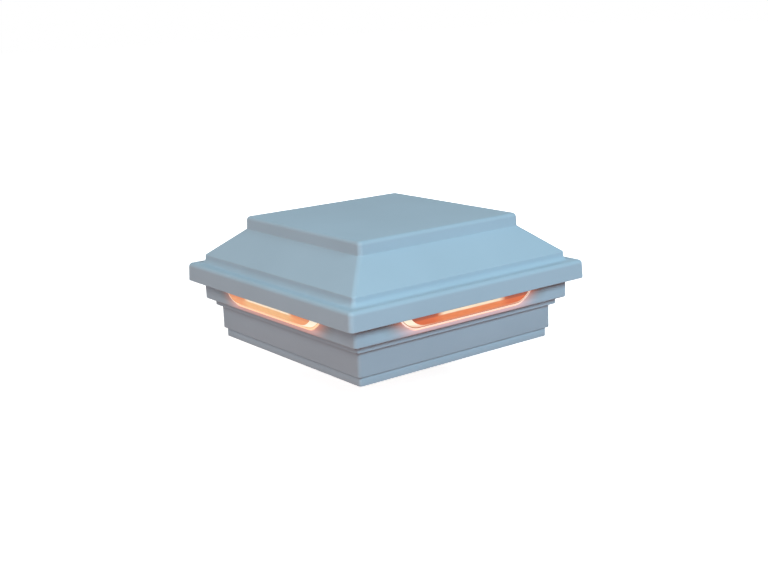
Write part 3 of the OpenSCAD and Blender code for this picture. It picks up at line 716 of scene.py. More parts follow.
def pan_head_screw(length):
    """A screw with a domed head and a cross recess, its seat at the origin."""
    flank = SCREW_HEAD_H - SCREW_DOME_H
    dome = [math.radians(15 * i) for i in range(1, 6)]
    profile = [(0, -length), (SCREW_SHANK_R - SCREW_POINT_R, -length),
               (SCREW_SHANK_R, -length + SCREW_POINT_H), (SCREW_SHANK_R, 0),
               (SCREW_HEAD_R - SCREW_BRIM_R, 0), (SCREW_HEAD_R, SCREW_BRIM_R), (SCREW_HEAD_R, flank)]
    profile += [(SCREW_HEAD_R * math.cos(a), flank + SCREW_DOME_H * math.sin(a)) for a in dome]
    profile.append((0, SCREW_HEAD_H))
    screw = bpy.data.objects.new("screw", turned("screw", profile, (0, 0), steps=32))
    recess = bmesh.new()
    for quarter in (0, 1):
        slot = box(recess, (-RECESS_HALF, -RECESS_T / 2, SCREW_HEAD_H - RECESS_DEPTH),
                   (RECESS_HALF, RECESS_T / 2, SCREW_HEAD_H + 1))
        bmesh.ops.rotate(recess, verts=slot, cent=(0, 0, 0), matrix=side_turn(quarter))
    cutter = bpy.data.objects.new("recess", as_mesh(recess, "recess"))
    cut = screw.modifiers.new("cross_recess", "BOOLEAN")
    cut.operation = "DIFFERENCE"
    cut.solver = "EXACT"
    cut.use_self = True
    cut.object = cutter
    return made_real("pan_head_screw", screw, cutter)


# Bright zinc on steel: a cool metal with a thin passivated film, slightly cloudy over 3 mm.
zinc = fine_finish("bright_zinc_plated_steel", "#B9BEC4", "#D8DBDC", 330, 2, {"Metallic": 1},
                   gloss=(0.18, 0.34))

copies_tree = copies_at_points()
screw_places = [(sx * BRACKET_SCREW_AT, sy * BRACKET_SCREW_AT, BRACKET_TOP_Z)
                for sx in (-1, 1) for sy in (-1, 1)]
screws_mesh = placed_copies("bracket_pan_head_screws", pan_head_screw(BRACKET_SCREW_LENGTH),
                            screw_places, zinc, loose=SCREW_LOOSE_TURN)
bracket_screws = new_piece("bracket_pan_head_screws", screws_mesh, "base", "screw_steel", "bracket_screws")
smooth_by_angle(bracket_screws)


# ---- Emitter boards -----------------------------------------------------------------------
# Four narrow circuit boards with a white solder mask that throws the light forward, glued to
# the bracket's upturned edges. Each has a tinned solder pad at either end for the links.
BOARD_BACK, BOARD_FACE = 51.9, 53.1
BOARD_HALF, BOARD_Z, BOARD_TOP_Z, BOARD_CORNER_R = 29, 27, 35.5, 0.8
PAD_AT, PAD_Z, PAD_R = 26.6, 33.6, 1.25
SOLDER_FOOT, SOLDER_TOP, SOLDER_CROWN = 0.05, 0.35, 0.8
CIRCLE = 20  # sides of a small circle
BAR_MIDDLE_Z = 31.2


def upright_plate(shape, back, front, half, low, high, corner_r, material=0):
    """Adds an upright plate at the front side, with round corners, to a bmesh."""
    outline = []
    for k, (cx, cz) in enumerate(((half, high), (-half, high), (-half, low), (half, low))):
        sx, sz = (1 if cx > 0 else -1), (1 if k < 2 else -1)
        outline += arc(cx - sx * corner_r, cz - sz * corner_r, corner_r, 90 * k, 90 * k + 90, 4)
    far, near = [[shape.verts.new((MM * x, -MM * out, MM * z)) for x, z in outline]
                 for out in (back, front)]
    band(shape, far, near, material)
    for corners in (far, near):
        shape.faces.new(corners).material_index = material


def upright_circle(shape, radius, middle):
    """Adds the corners of a circle that faces the front to a bmesh."""
    angles = [2 * math.pi * i / CIRCLE for i in range(CIRCLE)]
    return [shape.verts.new((MM * (middle[0] + radius * math.cos(a)), MM * middle[1],
                             MM * (middle[2] + radius * math.sin(a)))) for a in angles]


# White solder mask on glass epoxy: bright and smooth, with the copper under it as a faint step.
def white_mask():
    material, tree, place = new_material("white_solder_mask")
    _, up, _ = along_and_up(tree, place)
    # two copper bands 1.2 mm high run the board's length under the mask
    from_middle = node(tree, "ShaderNodeMath", {0: up, 1: BAR_MIDDLE_Z * MM}, operation="SUBTRACT")
    from_middle = node(tree, "ShaderNodeMath", {0: from_middle}, operation="ABSOLUTE")
    copper = node(tree, "ShaderNodeMath", {0: from_middle, 1: 2.9 * MM, 2: 0.6 * MM}, operation="COMPARE")
    speckle = node(tree, "ShaderNodeTexNoise", {"Vector": place, "Scale": 900, "Detail": 1})
    rough = node(tree, "ShaderNodeMapRange", {"Value": speckle, "To Min": 0.30, "To Max": 0.42})
    surface = node(tree, "ShaderNodeBump", {"Strength": 0.3, "Distance": 0.04 * MM, "Height": copper})
    skin = {"Base Color": two_tones(tree, copper, "#F3F2EC", "#E6E3D6"), "Roughness": rough, "IOR": 1.55,
            "Normal": surface}
    return coated(material, skin)


# Lead-free solder and tinned copper: soft silver, slightly frosted where it has set.
solder = fine_finish("set_solder_on_tinned_copper", "#C2C4C4", "#DDDEDC", 1500, 1, {"Metallic": 1},
                     gloss=(0.22, 0.40))

mask_white = white_mask()
for side in range(4):
    shape = bmesh.new()
    upright_plate(shape, BOARD_BACK, BOARD_FACE, BOARD_HALF, BOARD_Z, BOARD_TOP_Z, BOARD_CORNER_R)
    for sx in (-1, 1):
        # a low dome of solder over each pad
        foot, crown = [
            upright_circle(shape, r, (sx * PAD_AT, -BOARD_FACE - out, PAD_Z))
            for r, out in ((PAD_R, SOLDER_FOOT), (PAD_R * SOLDER_CROWN, SOLDER_TOP))]
        band(shape, foot, crown, 1)
        for corners in (foot, crown):
            shape.faces.new(corners).material_index = 1
    name = "emitter_board_" + SIDES[side]
    mesh = finished(shape, name, mask_white, solder, side=side)
    board = new_piece(name, mesh, "base", "white_board", "led_board_" + SIDES[side])
    smooth_by_angle(board)


# ---- Light emitters -----------------------------------------------------------------------
# Six surface-mounted emitters on each board: a white nylon cup filled with yellow phosphor
# gel. The terminals, hidden under the cup, aren't made.
EMITTER_W, EMITTER_H, EMITTER_T, EMITTER_EDGE_R = 3.5, 2.8, 0.8, 0.12
GEL_R, GEL_SUNK = 1.15, 0.06
EMITTER_COUNT, EMITTER_FIRST = 6, 20.5


# White nylon cup: matt and slightly cream, with a painted glow for the light from the gel beside it.
cup_white = fine_finish("white_nylon_cup", "#F5F0E2", "#ECE4D0", 500, 1, {
    "Roughness": 0.5, "IOR": 1.53, "Emission Color": linear("#FFC98A"), "Emission Strength": 0.35})


# Silicone gel with phosphor powder: yellow when off, warm white and glaring when on.
def phosphor_gel():
    material, tree, place = new_material("lit_phosphor_gel")
    # powder drawn at 0.25 mm so that it can show
    powder = node(tree, "ShaderNodeTexVoronoi", {"Vector": place, "Scale": 4000}, "Distance")
    glare = node(tree, "ShaderNodeMapRange", {"Value": powder, "To Min": 3.2, "To Max": 2.4})
    skin = {"Base Color": linear("#EFC648"), "Roughness": 0.2, "IOR": 1.41,
            "Emission Color": linear("#FFD29A"), "Emission Strength": glare}
    return coated(material, skin)


def emitter_part():
    """One emitter at the front side, with the middle of its back at the origin."""
    shape = bmesh.new()
    box(shape, (-EMITTER_W / 2, -EMITTER_T, -EMITTER_H / 2), (EMITTER_W / 2, 0, EMITTER_H / 2))
    bmesh.ops.bevel(shape, geom=shape.edges[:], offset=EMITTER_EDGE_R * MM, segments=2, affect="EDGES")
    mark = shape.faces.layers.bool.new("second_material")
    gel = [upright_circle(shape, r, (0, GEL_SUNK + out - EMITTER_T, 0))
           for r, out in ((GEL_R, 0.01), (GEL_R, 0.0), (GEL_R * 0.55, -0.07))]
    sides = band(shape, gel[0], gel[1]) + band(shape, gel[1], gel[2])
    for face in (*sides, shape.faces.new(gel[-1]), shape.faces.new(gel[0])):
        face[mark] = True
    return finished(shape, "emitter")


gel_yellow = phosphor_gel()
emitter = emitter_part()
pitch = 2 * EMITTER_FIRST / (EMITTER_COUNT - 1)
emitter_places = [(i * pitch - EMITTER_FIRST, -BOARD_FACE, BAR_MIDDLE_Z) for i in range(EMITTER_COUNT)]
for side in range(4):
    name = "light_emitters_" + SIDES[side]
    mesh = placed_copies(name, emitter, emitter_places, cup_white, gel_yellow, side)
    emitters = new_piece(name, mesh, "base", "emitters", "leds_" + SIDES[side])
    smooth_by_angle(emitters)


# ---- Frosted bars -------------------------------------------------------------------------
# A half-round trough of frosted polycarbonate is clipped over each row of emitters. It blurs
# the six points into the one bright line that shows in each window.
BAR_EDGE_R = 0.25


# Frosted polycarbonate with a painted glow for the light from inside: creamy, and painted brightest
# opposite each emitter.
def frosted_light():
    material, tree, place = new_material("lit_frosted_polycarbonate")
    along, _, _ = along_and_up(tree, place)
    # one painted bright patch opposite each emitter
    phase = node(tree, "ShaderNodeMath", {0: along, 1: math.tau / (pitch * MM)}, operation="MULTIPLY")
    wave = node(tree, "ShaderNodeMath", {0: phase}, operation="COSINE")
    frost = node(tree, "ShaderNodeTexNoise", {"Vector": place, "Scale": 1500, "Detail": 1})
    glow = node(tree, "ShaderNodeMapRange", {
        "Value": wave, "From Min": 1, "From Max": -1, "To Min": 0.75, "To Max": 1.05})
    surface = node(tree, "ShaderNodeBump", {"Strength": 0.15, "Distance": 0.05 * MM, "Height": frost})
    skin = {"Base Color": linear("#F4EBDD"), "Roughness": 0.6, "IOR": 1.585, "Normal": surface,
            "Emission Color": linear("#FFDCA8"), "Emission Strength": glow}
    return coated(material, skin)


frosted = frosted_light()
for side in range(4):
    name = "frosted_bar_" + SIDES[side]
    bar = new_piece(name, merged_copy("light_bar_" + SIDES[side], name, frosted), "base", "frosted_bar",
                    "light_bar_" + SIDES[side])
    round_edges(bar, BAR_EDGE_R, 1)


# ---- Board links --------------------------------------------------------------------------
# Three short red PVC-insulated links pass the current from board to board round the corners.
# Their bared ends are soldered to the boards' pads.
WIRE_R, WIRE_BEND_R = 0.8, 2.0
WIRE_SHARP_FROM = math.radians(50)
LINK_OUT, LINK_TURN = BOARD_FACE + 2.1, 42


def tube_along_route():
    """A node tree that draws a round tube along a line of edges, with its corners rounded."""
    tree, line = new_grower("tube_along_route", {
        "Radius": "Float", "Bend radius": "Float", "Material": "Material"})
    given = line.node.outputs
    route = node(tree, "GeometryNodeMeshToCurve", {"Mesh": line})
    bent = node(tree, "GeometryNodeFilletCurve", {
        "Curve": route, "Radius": given["Bend radius"], "Limit Radius": True, "Count": 7}, mode="POLY")
    ring = node(tree, "GeometryNodeCurvePrimitiveCircle", {"Resolution": 14, "Radius": given["Radius"]})
    tube = node(tree, "GeometryNodeCurveToMesh", {"Curve": bent, "Profile Curve": ring, "Fill Caps": True})
    real = node(tree, "GeometryNodeRealizeInstances", {"Geometry": tube})
    dressed = node(tree, "GeometryNodeSetMaterial", {"Geometry": real, "Material": given["Material"]})
    node(tree, "NodeGroupOutput", {"Geometry": dressed})
    return tree


def insulated_wires(name, routes, material):
    """Wires of one colour along routes of [x, y, z] points."""
    points, edges = [], []
    for route in routes:
        edges += [(len(points) + i, len(points) + i + 1) for i in range(len(route) - 1)]
        points += [[MM * v for v in point] for point in route]
    line = bpy.data.meshes.new(name + "_route")
    line.from_pydata(points, edges, [])
    values = {"Radius": WIRE_R * MM, "Bend radius": WIRE_BEND_R * MM, "Material": material}
    return grown_mesh(tube_tree, name, line, values)


# Soft PVC insulation: even colour, a waxy half-gloss, and a slight ripple from extrusion. Its
# ripple and tone drift over about 3 mm.
def pvc_insulation(name, colour, paler):
    return fine_finish(name, colour, paler, 330, 2, {"Roughness": 0.36, "IOR": 1.53}, relief=(0.08, 0.1))


tube_tree = tube_along_route()
link_route = [(PAD_AT, -BOARD_FACE, PAD_Z), (PAD_AT, -LINK_OUT, PAD_Z), (LINK_TURN, -LINK_OUT, PAD_Z),
              (LINK_OUT, -LINK_TURN, PAD_Z), (LINK_OUT, -PAD_AT, PAD_Z), (BOARD_FACE, -PAD_AT, PAD_Z)]
link_routes = [[side_turn(side) @ Vector(point) for point in link_route] for side in range(3)]
red_pvc = pvc_insulation("red_pvc_insulation", "#A81E18", "#BF3226")
links_mesh = insulated_wires("board_links", link_routes, red_pvc)
links = new_piece("board_links", links_mesh, "base", "red_insulation", "board_jumpers")
smooth_by_angle(links, WIRE_SHARP_FROM)


# ---- Driver tray --------------------------------------------------------------------------
# An open box moulded in black ABS, screwed down on the bracket. Pads inside carry the board,
# and slots let the supply plug and the output lead through.
TRAY_EDGE_R = 0.3


# Black ABS from a spark-eroded mould: charcoal, with an even fine grain and a low sheen.
def grained_abs():
    material, tree, place = new_material("grained_black_abs")
    # grain drawn at 0.6 mm, a few times coarser than the real texture
    grain = node(tree, "ShaderNodeTexVoronoi", {"Vector": place, "Scale": 1700}, "Distance",
                 feature="SMOOTH_F1")
    rough = node(tree, "ShaderNodeMapRange", {"Value": grain, "To Min": 0.42, "To Max": 0.62})
    surface = node(tree, "ShaderNodeBump", {"Strength": 0.12, "Distance": 0.08 * MM, "Height": grain})
    skin = {"Base Color": two_tones(tree, grain, "#1B1C1F", "#2A2C30"), "Roughness": rough, "IOR": 1.53,
            "Normal": surface}
    return coated(material, skin)


black_abs = grained_abs()
tray = new_piece("driver_tray_box", merged_copy("driver_tray", "driver_tray_box", black_abs), "base",
                 "driver_plastic", "driver_tray")
round_edges(tray, TRAY_EDGE_R)


# ---- Driver board -------------------------------------------------------------------------
# A glass epoxy circuit board, 1.6 mm thick, under a green solder mask. It lies on four pads
# in the tray and carries the supply circuit.
PCB_HALF_X, PCB_Y, PCB_Z, PCB_TOP_Z, PCB_CORNER_R = 20.1, (7.9, 42.1), 30.0, 31.6, 1.0


# Green solder mask: glossy, with copper tracks paler under it, and straw-coloured cut edges.
def green_mask():
    material, tree, place = new_material("green_solder_mask_on_glass_epoxy")
    # tracks 0.4 mm wide on a 2.5 mm grid, with links every 9 mm or so
    tracks = node(tree, "ShaderNodeTexBrick", {
        "Vector": place, "Scale": 1, "Mortar Size": 0.2 * MM, "Mortar Smooth": 0.1,
        "Brick Width": 9 * MM, "Row Height": 2.5 * MM}, "Fac")
    mask = two_tones(tree, tracks, "#17502D", "#2C7A45")
    normal = node(tree, "ShaderNodeNewGeometry", output="Normal")
    up = node(tree, "ShaderNodeSeparateXYZ", {0: normal}, 2)
    flat = node(tree, "ShaderNodeMath", {0: up}, operation="ABSOLUTE")
    flat = node(tree, "ShaderNodeMath", {0: flat, 1: 0.7}, operation="GREATER_THAN")
    colour = two_tones(tree, flat, "#B5A768", mask)
    rough = node(tree, "ShaderNodeMapRange", {"Value": flat, "To Min": 0.7, "To Max": 0.26})
    surface = node(tree, "ShaderNodeBump", {"Strength": 0.4, "Distance": 0.04 * MM, "Height": tracks})
    skin = {"Base Color": colour, "Roughness": rough, "IOR": 1.55, "Normal": surface}
    return coated(material, skin)


shape = bmesh.new()
upright_plate(shape, PCB_Z, PCB_TOP_Z, PCB_HALF_X, PCB_Y[0], PCB_Y[1], PCB_CORNER_R)
for vert in shape.verts:
    # the plate was drawn standing up and is laid down here
    vert.co = Vector((vert.co.x, vert.co.z, -vert.co.y))
board_mesh = finished(shape, "driver_circuit_board", green_mask())
driver_board = new_piece("driver_circuit_board", board_mesh, "base", "green_board", "driver_board")
smooth_by_angle(driver_board)


# ---- Bridge rectifier and regulator -------------------------------------------------------
# Two packages moulded in black epoxy on tinned leads that are bent out to the board. One
# makes direct current of the supply, and the other holds the current steady.
RECTIFIER_AT, RECTIFIER_SIZE, RECTIFIER_LEADS = (-15, 15), (8.5, 6.5, 3.0), (1.7, 6.3)
CHIP_AT, CHIP_SIZE, CHIP_LEADS = (6, 16), (4.9, 3.9, 1.5), [0.55 + 1.27 * i for i in range(4)]
MOULD_DRAFT, PACKAGE_EDGE_R = math.radians(8), 0.15
LEAD_ROOT, LEAD_KNEE = 0.3, 0.42  # depth in the body, and where it bends along its reach


# Filled epoxy: charcoal, dull from the mould, with fine mineral specks, drawn at 0.4 mm.
epoxy = fine_finish("moulded_black_epoxy", "#141517", "#26272A", 2500, 1,
                    {"Roughness": 0.58, "IOR": 1.55}, relief=(0.10, 0.05))


def package_body(shape, at, size, lift):
    """A moulded body whose sides draw in from its waist, as they leave the mould."""
    x, y, z = at[0], at[1], PCB_TOP_Z + lift
    draft = size[2] / 2 * math.tan(MOULD_DRAFT)
    levels = [(draft, z), (0, z + size[2] / 2), (draft, z + size[2])]
    rings = []
    for inset, height in levels:
        rings.append([shape.verts.new((MM * px, MM * py, MM * height)) for px, py in (
            (x + inset, y + inset), (x + size[0] - inset, y + inset),
            (x + size[0] - inset, y + size[1] - inset), (x + inset, y + size[1] - inset))])
    for low, high in zip(rings, rings[1:]):
        band(shape, low, high)
    ends = [shape.faces.new(rings[0]), shape.faces.new(rings[-1])]
    around = {edge for face in ends for edge in face.edges}
    bmesh.ops.bevel(shape, geom=list(around), offset=PACKAGE_EDGE_R * MM, segments=2, affect="EDGES")


def bent_lead(shape, x, width, root_y, tip_y, root_z, t):
    """A flat lead that leaves the body at root_z and steps down to the board at tip_y."""
    out = 1 if tip_y > root_y else -1
    foot = PCB_TOP_Z + 0.02
    inside = root_y - out * LEAD_ROOT
    knee = root_y + out * (abs(tip_y - root_y) * LEAD_KNEE)
    top = [(inside, root_z + t), (knee, root_z + t), (knee + out * t, foot + t), (tip_y, foot + t)]
    under = [(inside, root_z), (knee - out * t * 0.7, root_z), (knee, foot), (tip_y, foot)]
    rows = [[shape.verts.new((MM * px, MM * y, MM * z)) for y, z in top + under[::-1]]
            for px in (x - width / 2, x + width / 2)]
    band(shape, *rows, 1)
    for row in rows:
        for k in range(3):
            face = shape.faces.new((row[k], row[k + 1], row[-2 - k], row[-1 - k]))
            face.material_index = 1


def package(name, at, size, leads, lift, width, root, reach, rise, t):
    """A package with flat leads at these places along its front and back."""
    shape = bmesh.new()
    package_body(shape, at, size, lift)
    for place in leads:
        for edge, tip in ((root, -reach), (size[1] - root, size[1] + reach)):
            bent_lead(shape, at[0] + place, width, at[1] + edge, at[1] + tip, PCB_TOP_Z + rise, t)
    return finished(shape, name, epoxy, solder)


rectifier_mesh = package("bridge_rectifier_package", RECTIFIER_AT, RECTIFIER_SIZE, RECTIFIER_LEADS,
                         lift=0.5, width=0.8, root=0.12, reach=1.2, rise=0.75, t=0.3)
chip_mesh = package("current_regulator_package", CHIP_AT, CHIP_SIZE, CHIP_LEADS,
                    lift=0.2, width=0.4, root=0.1, reach=1.0, rise=0.38, t=0.18)
rectifier = new_piece("bridge_rectifier_package", rectifier_mesh, "base", "chip_epoxy", "bridge_rectifier")
chip = new_piece("current_regulator_package", chip_mesh, "base", "chip_epoxy", "regulator_chip")
for packed in (rectifier, chip):
    smooth_by_angle(packed)


# ---- Smoothing capacitor ------------------------------------------------------------------
# A round aluminium can with a crimped groove near its foot, in a shrunk PVC sleeve. Its bare
# top is scored with a cross, so that it can vent.
CAPACITOR_AT, CAPACITOR_R, CAPACITOR_H = (-11, 33), 5.0, 8.6
SLEEVE_FOOT_R, GROOVE_R, GROOVE_Z, SLEEVE_EDGE_R, SLEEVE_LAP, CAN_SUNK = 0.4, 0.5, 1.6, 0.5, 1.0, 0.25

capacitor_axis = (CAPACITOR_AT[0] * MM, CAPACITOR_AT[1] * MM, 0)


# Shrunk PVC sleeve: dark blue and glossy, with one pale stripe down the negative side.
def blue_sleeve():
    material, tree, place = new_material("shrunk_blue_pvc_sleeve")
    centred = node(tree, "ShaderNodeVectorMath", {0: place, 1: capacitor_axis}, operation="SUBTRACT")
    x = node(tree, "ShaderNodeSeparateXYZ", {0: centred})
    angle = node(tree, "ShaderNodeMath", {0: x.node.outputs[1], 1: x}, operation="ARCTAN2")
    stripe = node(tree, "ShaderNodeMath", {0: angle, 1: -2.2, 2: 0.35}, operation="COMPARE")
    # slight shrinkage ripples about 2 mm apart
    ripple = node(tree, "ShaderNodeTexNoise", {"Vector": place, "Scale": 500, "Detail": 1})
    surface = node(tree, "ShaderNodeBump", {"Strength": 0.08, "Distance": 0.1 * MM, "Height": ripple})
    skin = {"Base Color": two_tones(tree, stripe, "#182A5E", "#AEBBD6"), "Roughness": 0.24, "IOR": 1.53,
            "Normal": surface}
    return coated(material, skin)


# Drawn aluminium can: bright and smooth, with the two scored lines darker.
def scored_aluminium():
    material, tree, place = new_material("scored_bright_aluminium")
    centred = node(tree, "ShaderNodeVectorMath", {0: place, 1: capacitor_axis}, operation="SUBTRACT")
    off_centre = node(tree, "ShaderNodeVectorMath", {0: centred}, operation="ABSOLUTE")
    x = node(tree, "ShaderNodeSeparateXYZ", {0: off_centre})
    nearer = node(tree, "ShaderNodeMath", {0: x, 1: x.node.outputs[1]}, operation="MINIMUM")
    score = node(tree, "ShaderNodeMapRange", {
        "Value": nearer, "From Min": 0.10 * MM, "From Max": 0.22 * MM, "To Min": 1, "To Max": 0})
    surface = node(tree, "ShaderNodeBump", {"Strength": 0.6, "Distance": -0.1 * MM, "Height": score})
    skin = {"Base Color": two_tones(tree, score, "#D3D5D6", "#8E9194"), "Metallic": 1, "Roughness": 0.25,
            "Normal": surface}
    return coated(material, skin)


can_top = PCB_TOP_Z + CAPACITOR_H
sleeve_profile = ([(0, PCB_TOP_Z), (CAPACITOR_R - 0.5, PCB_TOP_Z)]
                  + arc(CAPACITOR_R - SLEEVE_FOOT_R, PCB_TOP_Z + SLEEVE_FOOT_R, SLEEVE_FOOT_R, 300, 360, 3)
                  + arc(CAPACITOR_R + 0.1, PCB_TOP_Z + GROOVE_Z, GROOVE_R, 250, 110, 7)
                  + arc(CAPACITOR_R - SLEEVE_EDGE_R, can_top - SLEEVE_EDGE_R, SLEEVE_EDGE_R, 0, 90, 5)
                  + [(CAPACITOR_R - SLEEVE_LAP, can_top - 0.05),
                     (CAPACITOR_R - SLEEVE_LAP - 0.15, can_top - CAN_SUNK), (0, can_top - CAN_SUNK)])
sleeve_bands = [0] * (len(sleeve_profile) - 3) + [1, 1, 1]
capacitor_mesh = turned("smoothing_capacitor_can", sleeve_profile, CAPACITOR_AT, blue_sleeve(),
                        scored_aluminium(), bands=sleeve_bands, steps=48)
capacitor = new_piece("smoothing_capacitor_can", capacitor_mesh, "base", "capacitor_sleeve",
                      "smoothing_capacitor")
smooth_by_angle(capacitor)


# ---- Choke --------------------------------------------------------------------------------
# A reel-shaped core of sintered ferrite, wound with one layer of enamelled copper wire. It
# evens out the current to the emitters.
CHOKE_AT, CHOKE_R, CHOKE_WAIST_R, CHOKE_H = (3, 33), 4.6, 3.6, 6.7
CHOKE_EDGE_R, CHOKE_RIM_H, CHOKE_COIL_Z = 0.3, 1.1, 1.6
TURN_COUNT, TURN_WIRE_R, FIRST_TURN_Z = 7, 0.25, 1.85


# Sintered ferrite: dark warm grey ceramic, matt, with pits, drawn at 0.5 mm.
ferrite = fine_finish("sintered_ferrite", "#2B2927", "#4A4744", 2000, 2,
                      {"Roughness": 0.72, "IOR": 2.0}, relief=(0.2, 0.08))

# Enamelled copper: orange-brown metal under a clear glossy varnish.
copper = fine_finish("enamelled_copper_wire", "#A4522A", "#C77B45", 700, 1, {
    "Metallic": 1, "Roughness": 0.3, "Coat Weight": 0.6, "Coat Roughness": 0.12})

reel_top, reel_rim = PCB_TOP_Z + CHOKE_H, CHOKE_R - CHOKE_EDGE_R
reel_profile = ([(0, PCB_TOP_Z)] + arc(reel_rim, PCB_TOP_Z + CHOKE_EDGE_R, CHOKE_EDGE_R, 270, 360, 3)
                + [(CHOKE_R, PCB_TOP_Z + CHOKE_RIM_H), (CHOKE_WAIST_R, PCB_TOP_Z + CHOKE_COIL_Z),
                   (CHOKE_WAIST_R, reel_top - CHOKE_COIL_Z), (CHOKE_R, reel_top - CHOKE_RIM_H)]
                + arc(reel_rim, reel_top - CHOKE_EDGE_R, CHOKE_EDGE_R, 0, 90, 3) + [(0, reel_top)])
winding_turn = turned("winding_turn", arc(CHOKE_WAIST_R + 0.2, 0, TURN_WIRE_R, 0, 315, 7), (0, 0), steps=32)
turn_places = [(*CHOKE_AT, PCB_TOP_Z + FIRST_TURN_Z + i * 2 * TURN_WIRE_R) for i in range(TURN_COUNT)]
winding_mesh = placed_copies("choke_winding", winding_turn, turn_places, copper)
reel_mesh = turned("choke_core", reel_profile, CHOKE_AT, ferrite, steps=48)
choke_core = new_piece("choke_core", reel_mesh, "base", "ferrite", "choke")
winding = new_piece("choke_winding", winding_mesh, "base", "ferrite")
for wound in (choke_core, winding):
    smooth_by_angle(wound)


# ---- Sockets ------------------------------------------------------------------------------
# Two connectors moulded in natural nylon. The supply lead's plug goes into the open one, over
# its two pins, and the driver's own lead ends in the other.
SOCKET_EDGE_R, SUPPLY_EDGE_R = 0.25, 0.15
PIN_X, PIN_Z, PIN_Y, PIN_REACH = 1.9, 35.6, (6.9, 12.9), 0.6
OUTPUT_LOW, OUTPUT_HIGH = (12.5, 30, 31.6), (19, 36, 39.2)
LATCH_LOW, LATCH_HIGH = (14.0, 31.4, 39.1), (17.6, 34.6, 39.2)
LEADS_COLLAR_LOW, LEADS_COLLAR_HIGH = (18.9, 31.6, 34.4), (19.0, 34.4, 38.8)
LEAD_Y, LEAD_Z = 33, (35.6, 37.6)


# Natural nylon: warm off-white, slightly waxy and letting a little light through.
nylon = fine_finish("natural_moulded_nylon", "#EFE8D6", "#E2D9C2", 250, 2, {
    "Roughness": 0.42, "IOR": 1.53, "Subsurface Weight": 0.15, "Subsurface Scale": 1.0,
    "Subsurface Radius": (1.5 * MM, 1.2 * MM, 0.8 * MM)})

supply_mesh = merged_copy("supply_socket", "supply_inlet_socket", nylon, solder)
for face in supply_mesh.polygons:
    x, y, z = (v / MM for v in face.center)
    if PIN_Y[0] < y < PIN_Y[1] and math.hypot(abs(x) - PIN_X, z - PIN_Z) < PIN_REACH:
        face.material_index = 1
supply = new_piece("supply_inlet_socket", supply_mesh, "base", "socket_nylon", "supply_socket")
round_edges(supply, SUPPLY_EDGE_R, 1)

shape = bmesh.new()
box(shape, OUTPUT_LOW, OUTPUT_HIGH)
bmesh.ops.bevel(shape, geom=shape.edges[:], offset=SOCKET_EDGE_R * MM, segments=2, affect="EDGES")
# a latch across the top and a collar round the two leads
box(shape, LATCH_LOW, LATCH_HIGH)
box(shape, LEADS_COLLAR_LOW, LEADS_COLLAR_HIGH)
output_mesh = finished(shape, "output_lead_socket", nylon)
output = new_piece("output_lead_socket", output_mesh, "base", "socket_nylon", "output_socket")
smooth_by_angle(output)


# ---- Output lead --------------------------------------------------------------------------
# Two black PVC-insulated wires carry the steady current from the driver to the right-hand
# emitter board.
LEAD_START_X, LEAD_LIFT, LEAD_TURN_Y, LEAD_DROP = 19, (24, 34), 27.4, 6.4

lead_routes = []
for z in LEAD_Z:
    low_z = z - LEAD_DROP
    lead_routes.append([
        (LEAD_START_X, LEAD_Y, z), (LEAD_LIFT[0], LEAD_Y, z), (LEAD_LIFT[1], LEAD_Y, low_z),
        (LINK_OUT, LEAD_Y, low_z), (LINK_OUT, LEAD_TURN_Y, low_z), (BOARD_FACE, LEAD_TURN_Y, low_z)])
black_pvc = pvc_insulation("black_pvc_insulation", "#151517", "#232427")
lead_mesh = insulated_wires("output_lead", lead_routes, black_pvc)
lead = new_piece("output_lead", lead_mesh, "base", "black_insulation", "driver_lead")
smooth_by_angle(lead, WIRE_SHARP_FROM)


# ---- Driver cover and its screws ----------------------------------------------------------
# A flat lid of the same black ABS closes the tray. Two long screws pass through its ears and
# the tray's into the bracket.
COVER_TOP_Z, EAR_AT, COVER_SCREW_LENGTH = 42.8, (25, 20), 18

cover = new_piece("driver_tray_cover", merged_copy("driver_cover", "driver_tray_cover", black_abs), "base",
                  "driver_plastic", "driver_cover")
round_edges(cover, TRAY_EDGE_R)
ear_places = [(sx * EAR_AT[0], EAR_AT[1], COVER_TOP_Z) for sx in (-1, 1)]
cover_screws_mesh = placed_copies("cover_pan_head_screws", pan_head_screw(COVER_SCREW_LENGTH),
                                  ear_places, zinc, loose=SCREW_LOOSE_TURN)
cover_screws = new_piece("cover_pan_head_screws", cover_screws_mesh, "base", "screw_steel", "driver_screws")
smooth_by_angle(cover_screws)


# ---- Lid gasket ---------------------------------------------------------------------------
# A flat ring of the same black rubber lies on the collar's upper edge. The lid rests on it,
# and it keeps the rain out.
GASKET_Z, GASKET_TOP_Z, GASKET_EDGE_R = 36.2, 37.8, 0.25
GASKET_INNER, GASKET_OUTER, GASKET_INNER_CORNER_R = COLLAR_HALF - COLLAR_WALL, COLLAR_HALF, 1.0
CORNER_STEPS = 10


def square_ring(half, corner, z):
    """The points of one ring of a square shell with round corners, in metres."""
    ring = []
    for quarter, (sx, sy) in enumerate(((1, 1), (-1, 1), (-1, -1), (1, -1))):
        for i in range(CORNER_STEPS + 1):
            a = math.radians(90 * (quarter + i / CORNER_STEPS))
            ring.append((MM * (sx * (half - corner) + corner * math.cos(a)),
                         MM * (sy * (half - corner) + corner * math.sin(a)), MM * z))
    return ring


def square_shell(name, profile, material, closed_on_itself=False):
    """A solid through square rings of [half width, height, corner radius]. Its first and last
    rings are joined to each other, or each is closed by a flat face."""
    shape = bmesh.new()
    loops = [[shape.verts.new(p) for p in square_ring(w, corner, z)] for w, z, corner in profile]
    pairs = list(zip(loops, loops[1:]))
    if closed_on_itself:
        pairs.append((loops[-1], loops[0]))
    else:
        shape.faces.new(loops[0])
        shape.faces.new(loops[-1])
    for low, high in pairs:
        band(shape, low, high)
    bmesh.ops.remove_doubles(shape, verts=shape.verts, dist=0.0001 * MM)
    return finished(shape, name, material)


